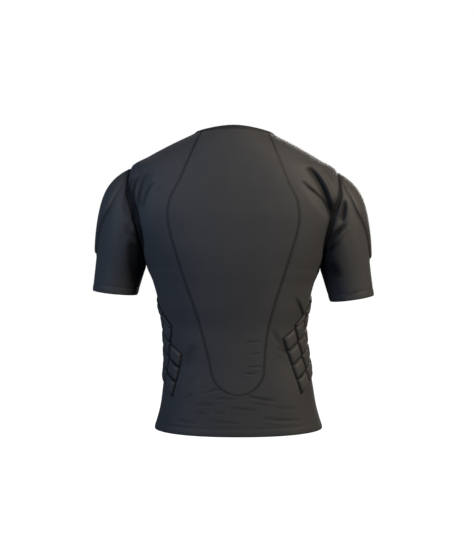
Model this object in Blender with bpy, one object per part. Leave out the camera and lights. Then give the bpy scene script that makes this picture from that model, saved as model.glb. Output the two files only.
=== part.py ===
"""Padded compression shirt, worn form with no wearer, modelled panel by panel.

Metres, +Z up. The back of the shirt faces -Y and the wearer's right side is +X.
The origin is on the line of the shoulders, midway between the two sides of the neck.
"""
import functools
import math
from typing import NamedTuple

import bmesh
import bpy
import numpy as np

# Cloth and seams
WALL = 0.0018
SEAM_GAP = 0.0003
NORMAL_STEP = 0.005

# Neckband
BAND_HEIGHT = 0.010
BAND_LEAN = 0.22
BAND_STEPS = 2

# Front neckline: how round its dip is, where 1 would be half an ellipse
FRONT_DIP_POWER = 1.3

# Armhole: a loop from the shoulder point down to the armpit
SHOULDER_POINT = -0.0835
ARMPIT = -0.3015
ARMHOLE_REACH = 0.071

# Sleeve: its cuff's half width and half depth
CUFF_HALF_WIDTH = 0.0505
CUFF_HALF_DEPTH = 0.054

# Centre back panel: a tongue whose foot is half an ellipse
TONGUE_FOOT = -0.517
TONGUE_FOOT_DROP = 0.057

# Shoulder pad, on the sleeve's cap
SHOULDER_PAD_LIFT = 0.0010
SHOULDER_PAD_RIM = 0.0010
SHOULDER_PAD_CROWN = 0.0060
SHOULDER_PAD_RAMP = 0.45

# Rib pads: slanted, bowed rows of foam tiles round the waist, with corner tiles left out
RIB_COLUMNS = 5
RIB_ROWS = 5
RIB_RIGHT_FIRST_ANGLE = math.radians(38.0)
RIB_LEFT_FIRST_ANGLE = math.radians(41.0)
RIB_RIGHT_TOP = -0.4185
RIB_LEFT_TOP = -0.4255
RIB_RIGHT_LEFT_OUT = ((0, 0), (4, 4))
RIB_LEFT_LEFT_OUT = ((0, 0), (0, 1), (4, 4))
RIB_COLUMN_ANGLE = math.radians(16.0)
RIB_ROW_SHIFT = math.radians(3.3)
RIB_ROW_PITCH = 0.0321
RIB_TOP_ROW = 0.20
RIB_TOP_ROW_GROWTH = 0.30
RIB_TOP_ROW_LEAST = 0.15
RIB_COLUMN_RISE = 0.0235
RIB_COLUMN_BOW = 0.0020
RIB_LIFT = 0.0011
RIB_BACKING = 0.0012
RIB_TILE = 0.0042
TILE_STATIONS = (0.0, 0.09, 0.5, 0.91)
TILE_PROFILE = (0.0, 0.86, 1.0, 0.86)

# Pose: the wearer's right shoulder is a little low, and the hem stands to the right
SHOULDER_TILT = 0.0194
TILT_FULL_ABOVE = -0.38
TILT_GONE_BELOW = -0.62

# How many steps each stretch of the pattern has
SHOULDER_STEPS = 5
ARMHOLE_STEPS = 12
SIDE_STEPS = 14
HEM_STEPS = 8
TONGUE_COLUMNS = 10
BACK_COLUMNS = 8
FRONT_COLUMNS = 16
SLEEVE_STEPS = 11
PAD_COLUMNS = 12
PAD_STEPS = 12


class Section(NamedTuple):
    """One level of the worn form: its half widths, depths and how it dips at the centre."""

    name: str
    height: float
    edge: float
    back: float
    front: float
    power: float
    rise: float
    drop: float


SECTIONS = (
    Section("neck", -0.0045, 0.090, 0.068, 0.062, 2.00, 0.0105, 0.066),
    Section("yoke", -0.0290, 0.1395, 0.086, 0.082, 2.10, 0.0105, 0.058),
    Section("shoulder", -0.0560, 0.188, 0.098, 0.097, 2.20, 0.008, 0.048),
    Section("shoulder_point", SHOULDER_POINT, 0.2295, 0.106, 0.107, 2.25, 0.005, 0.038),
    Section("blade", -0.1240, 0.2350, 0.114, 0.117, 2.35, 0.0, 0.026),
    Section("upper_arm", -0.1900, 0.2180, 0.119, 0.127, 2.40, 0.0, 0.012),
    Section("lower_armhole", -0.2450, 0.2035, 0.118, 0.130, 2.40, 0.0, 0.004),
    Section("armpit", ARMPIT, 0.1945, 0.114, 0.127, 2.40, 0.0, 0.0),
    Section("under_arm", -0.3350, 0.1810, 0.110, 0.123, 2.40, 0.0, 0.0),
    Section("ribs", -0.3800, 0.1695, 0.105, 0.117, 2.40, 0.0, 0.0),
    Section("waist", -0.4400, 0.1580, 0.100, 0.111, 2.35, 0.0, 0.0),
    Section("hip_top", -0.5000, 0.1605, 0.101, 0.110, 2.35, 0.0, 0.0),
    Section("hip", -0.5700, 0.1695, 0.108, 0.112, 2.35, 0.0, 0.0),
    Section("seat", -0.6100, 0.1755, 0.112, 0.113, 2.35, 0.0, 0.0),
    Section("hem", -0.6635, 0.1900, 0.118, 0.116, 2.35, -0.0030, 0.0),
)


class Cuff(NamedTuple):
    """Where a sleeve ends, as if on the right: its centre, and how far its outer side is turned up."""

    x: float
    y: float
    z: float
    tilt: float


RIGHT = 1.0
LEFT = -1.0
CUFFS = {
    RIGHT: Cuff(0.2670, 0.004, -0.3668, math.radians(9.5)),
    LEFT: Cuff(0.2670, 0.004, -0.3640, math.radians(5.0)),
}


class SeamRow(NamedTuple):
    """One point of the centre back panel's side seam."""

    height: float
    half_width: float


TONGUE_SEAM = (
    SeamRow(-0.0045, 0.0735),
    SeamRow(-0.058, 0.095),
    SeamRow(-0.106, 0.116),
    SeamRow(-0.154, 0.139),
    SeamRow(-0.186, 0.143),
    SeamRow(-0.214, 0.139),
    SeamRow(-0.257, 0.1275),
    SeamRow(-0.316, 0.1095),
    SeamRow(-0.366, 0.0930),
    SeamRow(-0.425, 0.0755),
    SeamRow(-0.468, 0.0663),
    SeamRow(TONGUE_FOOT, 0.0587),
)


class PadRow(NamedTuple):
    """One row of a shoulder pad's outline: a share down the sleeve, and its two edges in degrees."""

    share: float
    back: float
    front: float


SHOULDER_PAD = (
    PadRow(0.022, 35.0, -45.0),
    PadRow(0.088, 47.0, -55.0),
    PadRow(0.246, 53.0, -59.0),
    PadRow(0.406, 46.0, -53.0),
    PadRow(0.560, 33.0, -42.0),
    PadRow(0.686, 20.0, -30.0),
    PadRow(0.766, 10.0, -20.0),
    PadRow(0.805, 3.0, -13.0),
)


class Fold(NamedTuple):
    """A soft trough pressed into the back beside an armhole, between two points seen from behind."""

    name: str
    start_x: float
    start_z: float
    end_x: float
    end_z: float
    depth: float
    half_width: float


FOLDS = (
    Fold("right_deep", 0.163, -0.074, 0.218, -0.182, 0.0050, 0.0095),
    Fold("right_second", 0.152, -0.106, 0.213, -0.190, 0.0028, 0.0080),
    Fold("left_deep", -0.206, -0.082, -0.212, -0.205, 0.0045, 0.0090),
    Fold("left_second", -0.184, -0.084, -0.201, -0.150, 0.0030, 0.0080),
)


class LeanRow(NamedTuple):
    """How far the wearer's middle stands to the right at a height."""

    height: float
    shift: float


LEAN = (
    LeanRow(-0.70, 0.0080),
    LeanRow(-0.62, 0.0075),
    LeanRow(-0.54, 0.0060),
    LeanRow(-0.43, -0.0015),
    LeanRow(-0.30, -0.0040),
    LeanRow(-0.10, -0.0025),
    LeanRow(0.05, 0.0010),
)


class Finish(NamedTuple):
    """Colour and surface of one kind of piece."""

    colour: tuple
    roughness: float


STRETCH_CLOTH = Finish((0.020, 0.022, 0.026, 1.0), 0.55)
PAD_CLOTH = Finish((0.016, 0.017, 0.020, 1.0), 0.60)
BAND_CLOTH = Finish((0.010, 0.011, 0.013, 1.0), 0.65)


def monotone(keys, values, at):
    """Monotone cubic through a table's rows, read at an array of places."""
    step = np.diff(keys)
    slope = np.diff(values) / step
    same = slope[:-1] * slope[1:] > 0.0
    total = np.where(same, slope[:-1] + slope[1:], 1.0)
    inner = np.where(same, 2.0 * slope[:-1] * slope[1:] / total, 0.0)
    tangent = np.concatenate((slope[:1], inner, slope[-1:]))
    at = np.clip(at, keys[0], keys[-1])
    k = np.clip(np.searchsorted(keys, at, side="right") - 1, 0, len(step) - 1)
    t = (at - keys[k]) / step[k]
    rise = values[k + 1] - values[k]
    curve = values[k] + rise * (3.0 * t**2 - 2.0 * t**3)
    curve = curve + step[k] * tangent[k] * (t**3 - 2.0 * t**2 + t)
    return curve + step[k] * tangent[k + 1] * (t**3 - t**2)


def table_column(table, field):
    """One named column of a table, as an array."""
    return np.array([getattr(row, field) for row in table])


def path_lengths():
    """Length of the outer edge's path from the neck to each section."""
    edge = table_column(SECTIONS, "edge")
    height = table_column(SECTIONS, "height")
    steps = np.hypot(np.diff(edge), np.diff(height))
    return np.concatenate(([0.0], np.cumsum(steps)))


LEVELS = path_lengths()
FINE_LEVELS = np.linspace(0.0, LEVELS[-1], 2000)
FINE_HEIGHTS = monotone(LEVELS, table_column(SECTIONS, "height"), FINE_LEVELS)


def section(field, level):
    """A section's size at any level, where a level is a path length down from the neck."""
    return monotone(LEVELS, table_column(SECTIONS, field), level)


def level_at(height):
    """The level whose outer edge is at a height."""
    return np.interp(-np.asarray(height), -FINE_HEIGHTS, FINE_LEVELS)


def armhole_reach(level):
    """Half the armhole's depth, front to back, where a level crosses it."""
    middle = (SHOULDER_POINT + ARMPIT) / 2.0
    half = (SHOULDER_POINT - ARMPIT) / 2.0
    across = (section("height", level) - middle) / half
    return ARMHOLE_REACH * np.sqrt(np.clip(1.0 - across**2, 0.0, 1.0))


def edge_share(level, depth):
    """Share of the form's half width where the panel meets the armhole, or 1 at a seam."""
    power = section("power", level)
    return (1.0 - np.clip(armhole_reach(level) / depth, 0.0, 0.95) ** power) ** (1.0 / power)


def fold_press(x, z):
    """How far the folds beside the armholes press the back in."""
    press = np.zeros_like(x)
    for fold in FOLDS:
        run_x = fold.end_x - fold.start_x
        run_z = fold.end_z - fold.start_z
        length = math.hypot(run_x, run_z)
        along = ((x - fold.start_x) * run_x + (z - fold.start_z) * run_z) / length**2
        across = ((x - fold.start_x) * run_z - (z - fold.start_z) * run_x) / length
        taper = np.clip(4.0 * along * (1.0 - along), 0.0, 1.0)
        press = press + fold.depth * np.sqrt(taper) * np.exp(-((across / fold.half_width) ** 2))
    return press


def form(angle, level):
    """Point of the worn form: an angle round it, 0 at centre back, and a level down it.

    A level section is x = half width times the sine, and y such that the two
    shares, each raised to the section's power, add up to one.
    """
    on_back = np.cos(angle) >= 0.0
    depth = np.where(on_back, section("back", level), section("front", level))
    power = section("power", level)
    half = section("edge", level) / edge_share(level, depth)
    share = np.abs(np.sin(angle)) ** power
    x = half * np.sin(angle)
    y = -np.sign(np.cos(angle)) * depth * np.clip(1.0 - share, 0.0, 1.0) ** (1.0 / power)
    away = np.abs(np.cos(angle))
    lift = section("rise", level) * away**2
    dip = section("drop", level) * away**FRONT_DIP_POWER
    z = section("height", level) + np.where(on_back, lift, -dip)
    y = y + np.where(on_back, fold_press(x, z), 0.0)
    return np.stack((x, y, z), axis=-1)


def unit(vectors):
    """Vectors brought to length one."""
    return vectors / np.maximum(np.linalg.norm(vectors, axis=-1, keepdims=True), 1e-12)


def facing(surface, a, b):
    """Unit normal of a surface of two parameters, from central differences."""
    along_a = surface(a + NORMAL_STEP, b) - surface(a - NORMAL_STEP, b)
    along_b = surface(a, b + NORMAL_STEP) - surface(a, b - NORMAL_STEP)
    return unit(np.cross(along_a, along_b))


def form_facing(angle, level):
    """Outward normal of the worn form."""
    return -facing(form, angle, level)


def armhole_level(turn):
    """Level of the armhole's loop at a turn from its top."""
    middle = (SHOULDER_POINT + ARMPIT) / 2.0
    half = (SHOULDER_POINT - ARMPIT) / 2.0
    return level_at(middle + half * np.cos(turn))


def edge_angle(level, field):
    """Angle round the form of a panel's outer edge: the armhole, or 90 degrees at a seam."""
    share = edge_share(level, section(field, level))
    return np.arcsin(np.clip(share, 0.0, 1.0))


def armhole_angle(turn, level):
    """Angle round the form of the right armhole's loop, at the back for a positive turn."""
    back_angle = edge_angle(level, "back")
    front_angle = math.pi - edge_angle(level, "front")
    return np.where(np.sin(turn) >= 0.0, back_angle, front_angle)


def mirrored(points, side):
    """The same points, or their mirror image where the side is the wearer's left."""
    return points * np.array((side, 1.0, 1.0))


def armhole_ring(side, turn):
    """Point of an armhole's loop by its turn from the top, as if it were on the right."""
    level = armhole_level(turn)
    return mirrored(form(side * armhole_angle(turn, level), level), side)


def hermite(start, start_pull, end, end_pull, s):
    """Cubic from start to end with the given pull at each end."""
    s = s[..., None]
    curve = start * (2.0 * s**3 - 3.0 * s**2 + 1.0) + end * (3.0 * s**2 - 2.0 * s**3)
    return curve + start_pull * (s**3 - 2.0 * s**2 + s) + end_pull * (s**3 - s**2)


def sleeve(side, turn, s):
    """Point of a sleeve, as if on the right: a turn round it from its top, a share down it.

    Each line runs as a cubic from the armhole's loop to the cuff's ellipse, pulled
    outward over the shoulder at the top and straight down under the arm.
    """
    turn, s = np.broadcast_arrays(turn, s)
    top = np.cos(turn)
    back = np.sin(turn)
    start = armhole_ring(side, turn) + np.array((SEAM_GAP, 0.0, 0.0))
    cuff = CUFFS[side]
    end = np.stack(
        (
            cuff.x + CUFF_HALF_WIDTH * top * math.cos(cuff.tilt),
            cuff.y - CUFF_HALF_DEPTH * back,
            cuff.z + CUFF_HALF_WIDTH * top * math.sin(cuff.tilt),
        ),
        axis=-1,
    )
    cap = np.maximum(top, 0.0) ** 2
    start_x = 0.11 + 0.09 * top + 0.0374 * cap
    start_z = -0.055 - 0.10 * back**2 - 0.0921 * cap
    end_x = 0.026 + 0.008 * top + 0.0333 * cap
    end_z = -0.165 - 0.105 * top - 0.1598 * cap
    start_pull = np.stack((start_x, -0.012 * back, start_z), axis=-1)
    end_pull = np.stack((end_x, 0.0 * back, end_z), axis=-1)
    return hermite(start, start_pull, end, end_pull, s)


def sleeve_facing(side, turn, s):
    """Outward normal of a sleeve, as if on the right."""
    return facing(functools.partial(sleeve, side), turn, s)


def armhole_mitre(side, turn):
    """Direction out of an armhole's seam, shared by the panel and the sleeve, as if on the right."""
    level = armhole_level(turn)
    body = mirrored(form_facing(side * armhole_angle(turn, level), level), side)
    return unit(body + sleeve_facing(side, turn, np.full_like(turn, NORMAL_STEP)))


def posed(points):
    """The pose's small lean of the middle and low right shoulder, on an array of points."""
    points = points.copy()
    height = points[..., 2]
    fade = np.clip((height - TILT_GONE_BELOW) / (TILT_FULL_ABOVE - TILT_GONE_BELOW), 0.0, 1.0)
    fade = fade * fade * (3.0 - 2.0 * fade)
    lean = monotone(table_column(LEAN, "height"), table_column(LEAN, "shift"), height)
    points[..., 2] = height - SHOULDER_TILT * points[..., 0] * fade
    points[..., 0] = points[..., 0] + lean
    return points


def drawn_in(outer, inner):
    """Move a panel's first and last columns in by half a seam gap, both faces alike."""
    shift = np.zeros_like(outer)
    shift[:, 0] = SEAM_GAP / 2.0 * unit(outer[:, 1] - outer[:, 0])
    shift[:, -1] = SEAM_GAP / 2.0 * unit(outer[:, -2] - outer[:, -1])
    return outer + shift, inner + shift


def grid_faces(rows, columns, around, first):
    """Four-cornered faces of a grid of vertices that starts at an index."""
    row = np.arange(rows - 1)[:, None]
    column = np.arange(columns if around else columns - 1)[None, :]
    beside = (column + 1) % columns
    corners = (row * columns + column, row * columns + beside)
    below = ((row + 1) * columns + beside, (row + 1) * columns + column)
    faces = np.stack(np.broadcast_arrays(corners[0], corners[1], below[0], below[1]), axis=-1)
    return first + faces.reshape(-1, 4)


def rim_faces(rows, columns, around):
    """Faces that join the outer grid's open edges to the inner grid's."""
    index = np.arange(rows * columns).reshape(rows, columns)
    if around:
        top = np.append(index[0], index[0, 0])
        foot = np.append(index[-1], index[-1, 0])
        loops = (top, foot)
    else:
        loops = (np.concatenate((index[0], index[1:, -1], index[-1, -2::-1], index[-2::-1, 0])),)
    strips = []
    for loop in loops:
        behind = loop + rows * columns
        strips.append(np.stack((loop[1:], loop[:-1], behind[:-1], behind[1:]), axis=-1))
    return np.concatenate(strips)


def add_wall(name, outer, inner, finish, around=False):
    """One closed wall from its outer and inner grids of points, as a named object."""
    rows, columns = outer.shape[:2]
    points = posed(np.concatenate((outer.reshape(-1, 3), inner.reshape(-1, 3))))
    faces = np.concatenate(
        (
            grid_faces(rows, columns, around, 0),
            grid_faces(rows, columns, around, rows * columns)[:, ::-1],
            rim_faces(rows, columns, around),
        )
    )
    mesh = bpy.data.meshes.new(name)
    mesh.from_pydata(points.tolist(), [], faces.tolist())
    work = bmesh.new()
    work.from_mesh(mesh)
    bmesh.ops.remove_doubles(work, verts=work.verts, dist=1e-6)
    bmesh.ops.recalc_face_normals(work, faces=work.faces)
    work.to_mesh(mesh)
    work.free()
    mesh.shade_smooth()
    mesh.set_sharp_from_angle(angle=math.radians(50.0))
    mesh.materials.append(add_material(name, finish))
    piece = bpy.data.objects.new(name, mesh)
    bpy.context.scene.collection.objects.link(piece)
    return piece


def add_material(name, finish):
    """A Principled material for one piece."""
    material = bpy.data.materials.new(name)
    material.use_nodes = True
    shader = material.node_tree.nodes["Principled BSDF"]
    shader.inputs["Base Color"].default_value = finish.colour
    shader.inputs["Roughness"].default_value = finish.roughness
    shader.inputs["Metallic"].default_value = 0.0
    return material


def shoulder_levels():
    """Levels down the shoulder seam, from the neck to the shoulder point."""
    return np.linspace(0.0, float(level_at(SHOULDER_POINT)), SHOULDER_STEPS + 1)


def armhole_levels():
    """Levels down the armhole, evenly spaced round its loop."""
    return armhole_level(np.linspace(0.0, math.pi, ARMHOLE_STEPS + 1))


def side_levels():
    """Levels down the side seam, from the armpit to the hem."""
    return np.linspace(float(level_at(ARMPIT)), LEVELS[-1], SIDE_STEPS + 1)


def outer_edge(field):
    """Angle and level of a panel's outer edge from the neck down to the corner of the hem."""
    levels = np.concatenate((shoulder_levels(), armhole_levels()[1:], side_levels()[1:]))
    return edge_angle(levels, field), levels


def set_mitre(inner, outer, column, side, on_back):
    """Turn a wall's inner points along an armhole to the direction that its seam shares."""
    turn = np.linspace(0.0, math.pi, ARMHOLE_STEPS + 1)
    outward = armhole_mitre(side, turn if on_back else -turn)
    rows = slice(SHOULDER_STEPS, SHOULDER_STEPS + ARMHOLE_STEPS + 1)
    inner[rows, column] = outer[rows, column] - WALL * mirrored(outward, side)


def seam_points():
    """Heights and half widths of the centre back panel's seam, one for each row of the back."""
    upper = section("height", np.concatenate((shoulder_levels(), armhole_levels()[1:])))
    lower = np.linspace(upper[-1], TONGUE_FOOT, SIDE_STEPS + 1)[1:]
    height = np.concatenate((upper, lower))
    rows = TONGUE_SEAM[::-1]
    half = monotone(table_column(rows, "height"), table_column(rows, "half_width"), height)
    turn = np.linspace(0.0, math.pi / 2.0, HEM_STEPS + 1)[1:]
    foot_height = TONGUE_FOOT - TONGUE_FOOT_DROP * np.sin(turn)
    foot_half = TONGUE_SEAM[-1].half_width * np.cos(turn)
    foot_half[-1] = 0.0
    return np.concatenate((height, foot_height)), np.concatenate((half, foot_half))


def seam_angles():
    """Angle and level of the centre back panel's seam."""
    height, half = seam_points()
    level = level_at(height)
    full = section("edge", level) / edge_share(level, section("back", level))
    return np.arcsin(np.clip(half / full, 0.0, 1.0)), level


def add_centre_back():
    """The tongue-shaped panel from the neck down to its rounded foot."""
    angle, level = seam_angles()
    across = np.linspace(-1.0, 1.0, TONGUE_COLUMNS + 1)
    angles = np.arcsin(np.sin(angle)[:, None] * across[None, :])
    levels = np.broadcast_to(level[:, None], angles.shape)
    outer = form(angles, levels)
    inner = outer - WALL * form_facing(angles, levels)
    outer[:-1], inner[:-1] = drawn_in(outer[:-1], inner[:-1])
    foot_gap = np.array((0.0, 0.0, SEAM_GAP / 2.0))
    outer[-1] = outer[-1].mean(axis=0) + foot_gap
    inner[-1] = inner[-1].mean(axis=0) + foot_gap
    return add_wall("centre_back_panel", outer, inner, STRETCH_CLOTH)


def back_half():
    """Outer and inner points of the right half of the back, from the tongue's seam outward."""
    seam_angle, seam_level = seam_angles()
    edge, edge_level = outer_edge("back")
    hem_angle = np.linspace(math.pi / 2.0, 0.0, HEM_STEPS + 1)[1:]
    edge = np.concatenate((edge, hem_angle))
    edge_level = np.concatenate((edge_level, np.full(HEM_STEPS, LEVELS[-1])))
    share = np.linspace(0.0, 1.0, BACK_COLUMNS + 1)[None, :]
    angles = seam_angle[:, None] * (1.0 - share) + edge[:, None] * share
    levels = seam_level[:, None] * (1.0 - share) + edge_level[:, None] * share
    return angles, levels


def add_back():
    """The panel that runs down both sides of the tongue and right across under it."""
    angles, levels = back_half()
    halves = []
    for side in (RIGHT, LEFT):
        outer = form(side * angles, levels)
        inner = outer - WALL * form_facing(side * angles, levels)
        set_mitre(inner, outer, -1, side, on_back=True)
        halves.append(drawn_in(outer, inner))
    right, left = halves
    outer = np.concatenate((right[0][:-1], left[0][::-1]))
    inner = np.concatenate((right[1][:-1], left[1][::-1]))
    return add_wall("back_panel", outer, inner, STRETCH_CLOTH)


def add_front():
    """The plain front, from one outer edge to the other."""
    edge, level = outer_edge("front")
    across = np.linspace(-1.0, 1.0, FRONT_COLUMNS + 1)
    angles = math.pi - edge[:, None] * across[None, :]
    levels = np.broadcast_to(level[:, None], angles.shape)
    outer = form(angles, levels)
    inner = outer - WALL * form_facing(angles, levels)
    set_mitre(inner, outer, -1, RIGHT, on_back=False)
    set_mitre(inner, outer, 0, LEFT, on_back=False)
    outer, inner = drawn_in(outer, inner)
    return add_wall("front_panel", outer, inner, STRETCH_CLOTH)


def band_angles():
    """Angles round the neck at every column of the panels below the band."""
    seam = float(seam_angles()[0][0])
    tongue = np.arcsin(math.sin(seam) * np.linspace(-1.0, 1.0, TONGUE_COLUMNS + 1))
    side = np.linspace(seam, math.pi / 2.0, BACK_COLUMNS + 1)
    front = math.pi - (math.pi / 2.0) * np.linspace(1.0, -1.0, FRONT_COLUMNS + 1)
    left = 2.0 * math.pi - side[::-1]
    return np.concatenate((tongue, side[1:], front[1:], left[1:-1]))


def band(angle, rise):
    """Point of the neckband: the neck's edge carried on up its own slope and towards the vertical."""
    edge = form(angle, np.zeros_like(angle))
    below = form(angle, np.full_like(angle, 0.004))
    slope = unit(edge - below)
    up = np.array((0.0, 0.0, 1.0))
    direction = unit((1.0 - BAND_LEAN) * slope + BAND_LEAN * up)
    return edge + direction * rise[..., None]


def add_neckband():
    """The narrow band round the neck."""
    angle = band_angles()
    rise = np.linspace(SEAM_GAP, BAND_HEIGHT, BAND_STEPS + 1)
    angles, rises = np.meshgrid(angle, rise)
    outer = band(angles, rises)
    inner = outer - WALL * facing(band, angles, rises)
    inner[0] = outer[0] - WALL * form_facing(angle, np.zeros_like(angle))
    return add_wall("neckband", outer, inner, BAND_CLOTH, around=True)


def add_sleeve(name, side):
    """One sleeve, from the armhole's loop to the cuff."""
    turn = np.linspace(0.0, 2.0 * math.pi, 2 * ARMHOLE_STEPS + 1)[:-1]
    turn = np.where(turn > math.pi, turn - 2.0 * math.pi, turn)
    share = np.linspace(0.0, 1.0, SLEEVE_STEPS + 1)
    turns, shares = np.meshgrid(turn, share)
    outer = sleeve(side, turns, shares)
    inner = outer - WALL * sleeve_facing(side, turns, shares)
    inner[0] = outer[0] - WALL * armhole_mitre(side, turn)
    outer, inner = mirrored(outer, side), mirrored(inner, side)
    return add_wall(name, outer, inner, STRETCH_CLOTH, around=True)


def add_shoulder_pad(name, side):
    """The foam pad over one shoulder and upper arm, thick in the middle with a soft rim."""
    along = np.linspace(-1.0, 1.0, PAD_STEPS + 1)[:, None]
    across = np.linspace(-1.0, 1.0, PAD_COLUMNS + 1)[None, :]
    down = (along + 1.0) / 2.0
    rows = table_column(SHOULDER_PAD, "share")
    shares = rows[0] + (rows[-1] - rows[0]) * down
    back = np.radians(monotone(rows, table_column(SHOULDER_PAD, "back"), shares))
    front = np.radians(monotone(rows, table_column(SHOULDER_PAD, "front"), shares))
    turns = (back + front) / 2.0 + (back - front) / 2.0 * across
    shares = np.broadcast_to(shares, turns.shape)
    ramp = np.clip(down / SHOULDER_PAD_RAMP, 0.0, 1.0)
    crown = (ramp * (2.0 - ramp)) ** 1.5 * np.sqrt((1.0 - across**4) * (1.0 - down**12))
    outward = sleeve_facing(side, turns, shares)
    inner = sleeve(side, turns, shares) + SHOULDER_PAD_LIFT * outward
    outer = inner + (SHOULDER_PAD_RIM + SHOULDER_PAD_CROWN * crown)[..., None] * outward
    outer, inner = mirrored(outer, side), mirrored(inner, side)
    return add_wall(name, outer, inner, PAD_CLOTH)


def tile_stations(count):
    """Places across a run of tiles, counted in tiles, and how high the foam stands at each."""
    places = [tile + station for tile in range(count) for station in TILE_STATIONS]
    profile = list(TILE_PROFILE) * count
    return np.array(places + [float(count)]), np.array(profile + [0.0])


def add_rib_pad(name, side):
    """The pad of slanted foam tiles round one side of the waist."""
    columns, across = tile_stations(RIB_COLUMNS)
    rows, down = tile_stations(RIB_ROWS)
    column, row = np.meshgrid(columns, rows)
    on_right = side == RIGHT
    first = RIB_RIGHT_FIRST_ANGLE if on_right else RIB_LEFT_FIRST_ANGLE
    top = RIB_RIGHT_TOP if on_right else RIB_LEFT_TOP
    growing = np.clip(RIB_TOP_ROW + RIB_TOP_ROW_GROWTH * (column - 1.0), RIB_TOP_ROW_LEAST, 1.0)
    drop = np.where(row < 1.0, 1.0 - (1.0 - row) * growing, row)
    rise = RIB_COLUMN_RISE * column - RIB_COLUMN_BOW * column**2
    angles = first + RIB_COLUMN_ANGLE * column + RIB_ROW_SHIFT * drop
    levels = level_at(top - RIB_ROW_PITCH * drop + rise)
    foam = np.minimum(across[None, :], down[:, None])
    for left_out in RIB_RIGHT_LEFT_OUT if on_right else RIB_LEFT_LEFT_OUT:
        foam[(np.floor(column) == left_out[0]) & (np.floor(row) == left_out[1])] = 0.0
    outward = form_facing(side * angles, levels)
    inner = form(side * angles, levels) + RIB_LIFT * outward
    outer = inner + (RIB_BACKING + RIB_TILE * foam)[..., None] * outward
    return add_wall(name, outer, inner, PAD_CLOTH)


def clear_scene():
    """Remove every object that the scene starts with."""
    for item in list(bpy.data.objects):
        bpy.data.objects.remove(item, do_unlink=True)


def main():
    """Build the whole shirt."""
    clear_scene()
    add_centre_back()
    add_back()
    add_front()
    add_neckband()
    for name, side in (("right", RIGHT), ("left", LEFT)):
        add_sleeve("sleeve_" + name, side)
        add_shoulder_pad("shoulder_pad_" + name, side)
        add_rib_pad("rib_pad_" + name, side)


main()
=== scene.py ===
"""Dresses the padded compression shirt: knit panels, foam pads, seams and stitches.

Metres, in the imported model's own frame: the back faces -Y, the wearer's right side is
+X and +Z is up. Every piece follows one worn form, a function of an angle and a level.
A name in the first column of a table only labels its row.
"""

import functools
import logging
import math
from collections.abc import Callable, Sequence
from dataclasses import dataclass
from enum import Enum
from typing import NamedTuple

import bmesh
import bpy
import numpy as np
from numpy.typing import NDArray
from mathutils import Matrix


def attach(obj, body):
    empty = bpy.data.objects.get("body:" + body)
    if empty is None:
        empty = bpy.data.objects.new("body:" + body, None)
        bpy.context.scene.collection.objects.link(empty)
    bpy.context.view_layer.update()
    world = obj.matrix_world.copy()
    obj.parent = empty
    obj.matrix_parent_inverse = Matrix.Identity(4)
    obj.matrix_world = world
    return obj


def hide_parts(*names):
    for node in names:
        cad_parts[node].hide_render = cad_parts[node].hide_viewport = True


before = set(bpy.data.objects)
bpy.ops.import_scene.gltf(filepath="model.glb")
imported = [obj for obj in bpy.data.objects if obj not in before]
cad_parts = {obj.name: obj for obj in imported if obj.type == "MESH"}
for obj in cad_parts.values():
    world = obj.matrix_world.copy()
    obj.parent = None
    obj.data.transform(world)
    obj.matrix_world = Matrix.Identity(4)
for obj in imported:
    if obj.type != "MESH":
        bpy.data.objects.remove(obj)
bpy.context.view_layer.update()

LOG = logging.getLogger("shirt")

Points = NDArray[np.float64]
Surface = Callable[[Points, Points], Points]
Colour = tuple[float, float, float]
NodeValue = bpy.types.NodeSocket | float | str | tuple[float, ...]

# The cloth's thickness, the gap between sewn pieces, and the step of a central difference
WALL = 0.0018
SEAM_GAP = 0.0003
NORMAL_STEP = 0.005

# Points closer than this are one, an edge sharper than this stays crisp, and no vector that is
# brought to length one counts as shorter than this
WELD = 1e-6
CRISP = math.radians(60.0)
SHORTEST = 1e-12

# Mean radius of the sleeves and of the neck, and the length down a sleeve, for their patterns
SLEEVE_RADIUS = 0.062
NECK_RADIUS = 0.08
SLEEVE_LENGTH = 0.22

# A wave texture of scale s repeats every pi / (10 s), so its scale is this over the pitch
WAVE_SCALE = 0.314159


class Side(Enum):
    """The wearer's two sides, by the sign of X."""

    RIGHT = 1.0
    LEFT = -1.0


class Face(Enum):
    """The body's two faces, by the name of a section's depth there."""

    BACK = "back"
    FRONT = "front"


class Section(NamedTuple):
    """One level of the worn form: its half width, its depths and how it dips at the centre."""

    name: str
    height: float
    edge: float
    back: float
    front: float
    power: float
    rise: float
    drop: float


class SeamRow(NamedTuple):
    """One point of the centre back panel's side seam."""

    height: float
    half_width: float


class Fold(NamedTuple):
    """A soft trough beside an armhole, between two points seen from behind."""

    name: str
    start_x: float
    start_z: float
    end_x: float
    end_z: float
    depth: float
    half_width: float


class LeanRow(NamedTuple):
    """How far the wearer's middle stands to the right at a height."""

    height: float
    shift: float


class Cuff(NamedTuple):
    """Where a sleeve ends, as if on the right: its centre, and how far its outer side turns up."""

    x: float
    y: float
    z: float
    tilt: float


class Pull(NamedTuple):
    """One axis of how a sleeve's lines leave or arrive, by their place round the arm."""

    even: float
    top: float
    sides: float
    cap: float

    def at(self, turn: Points) -> Points:
        """The even part, plus the others times a cosine, a sine squared and a cosine squared."""
        top, back = np.cos(turn), np.sin(turn)
        cap = np.maximum(top, 0.0) ** 2
        return self.even + self.top * top + self.sides * back**2 + self.cap * cap


class PadRow(NamedTuple):
    """One row of a shoulder pad's outline: a share down the sleeve, and both edges in degrees."""

    share: float
    back: float
    front: float


class HemBell(NamedTuple):
    """One bell of a hem's relief: its height, its distance from the edge, and its width."""

    height: float
    place: float
    width: float


class RibLayout(NamedTuple):
    """Where one rib pad starts: its first angle, its top, and the tiles (column, row) it lacks."""

    first_angle: float
    top: float
    left_out: tuple[tuple[int, int], ...]


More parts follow.
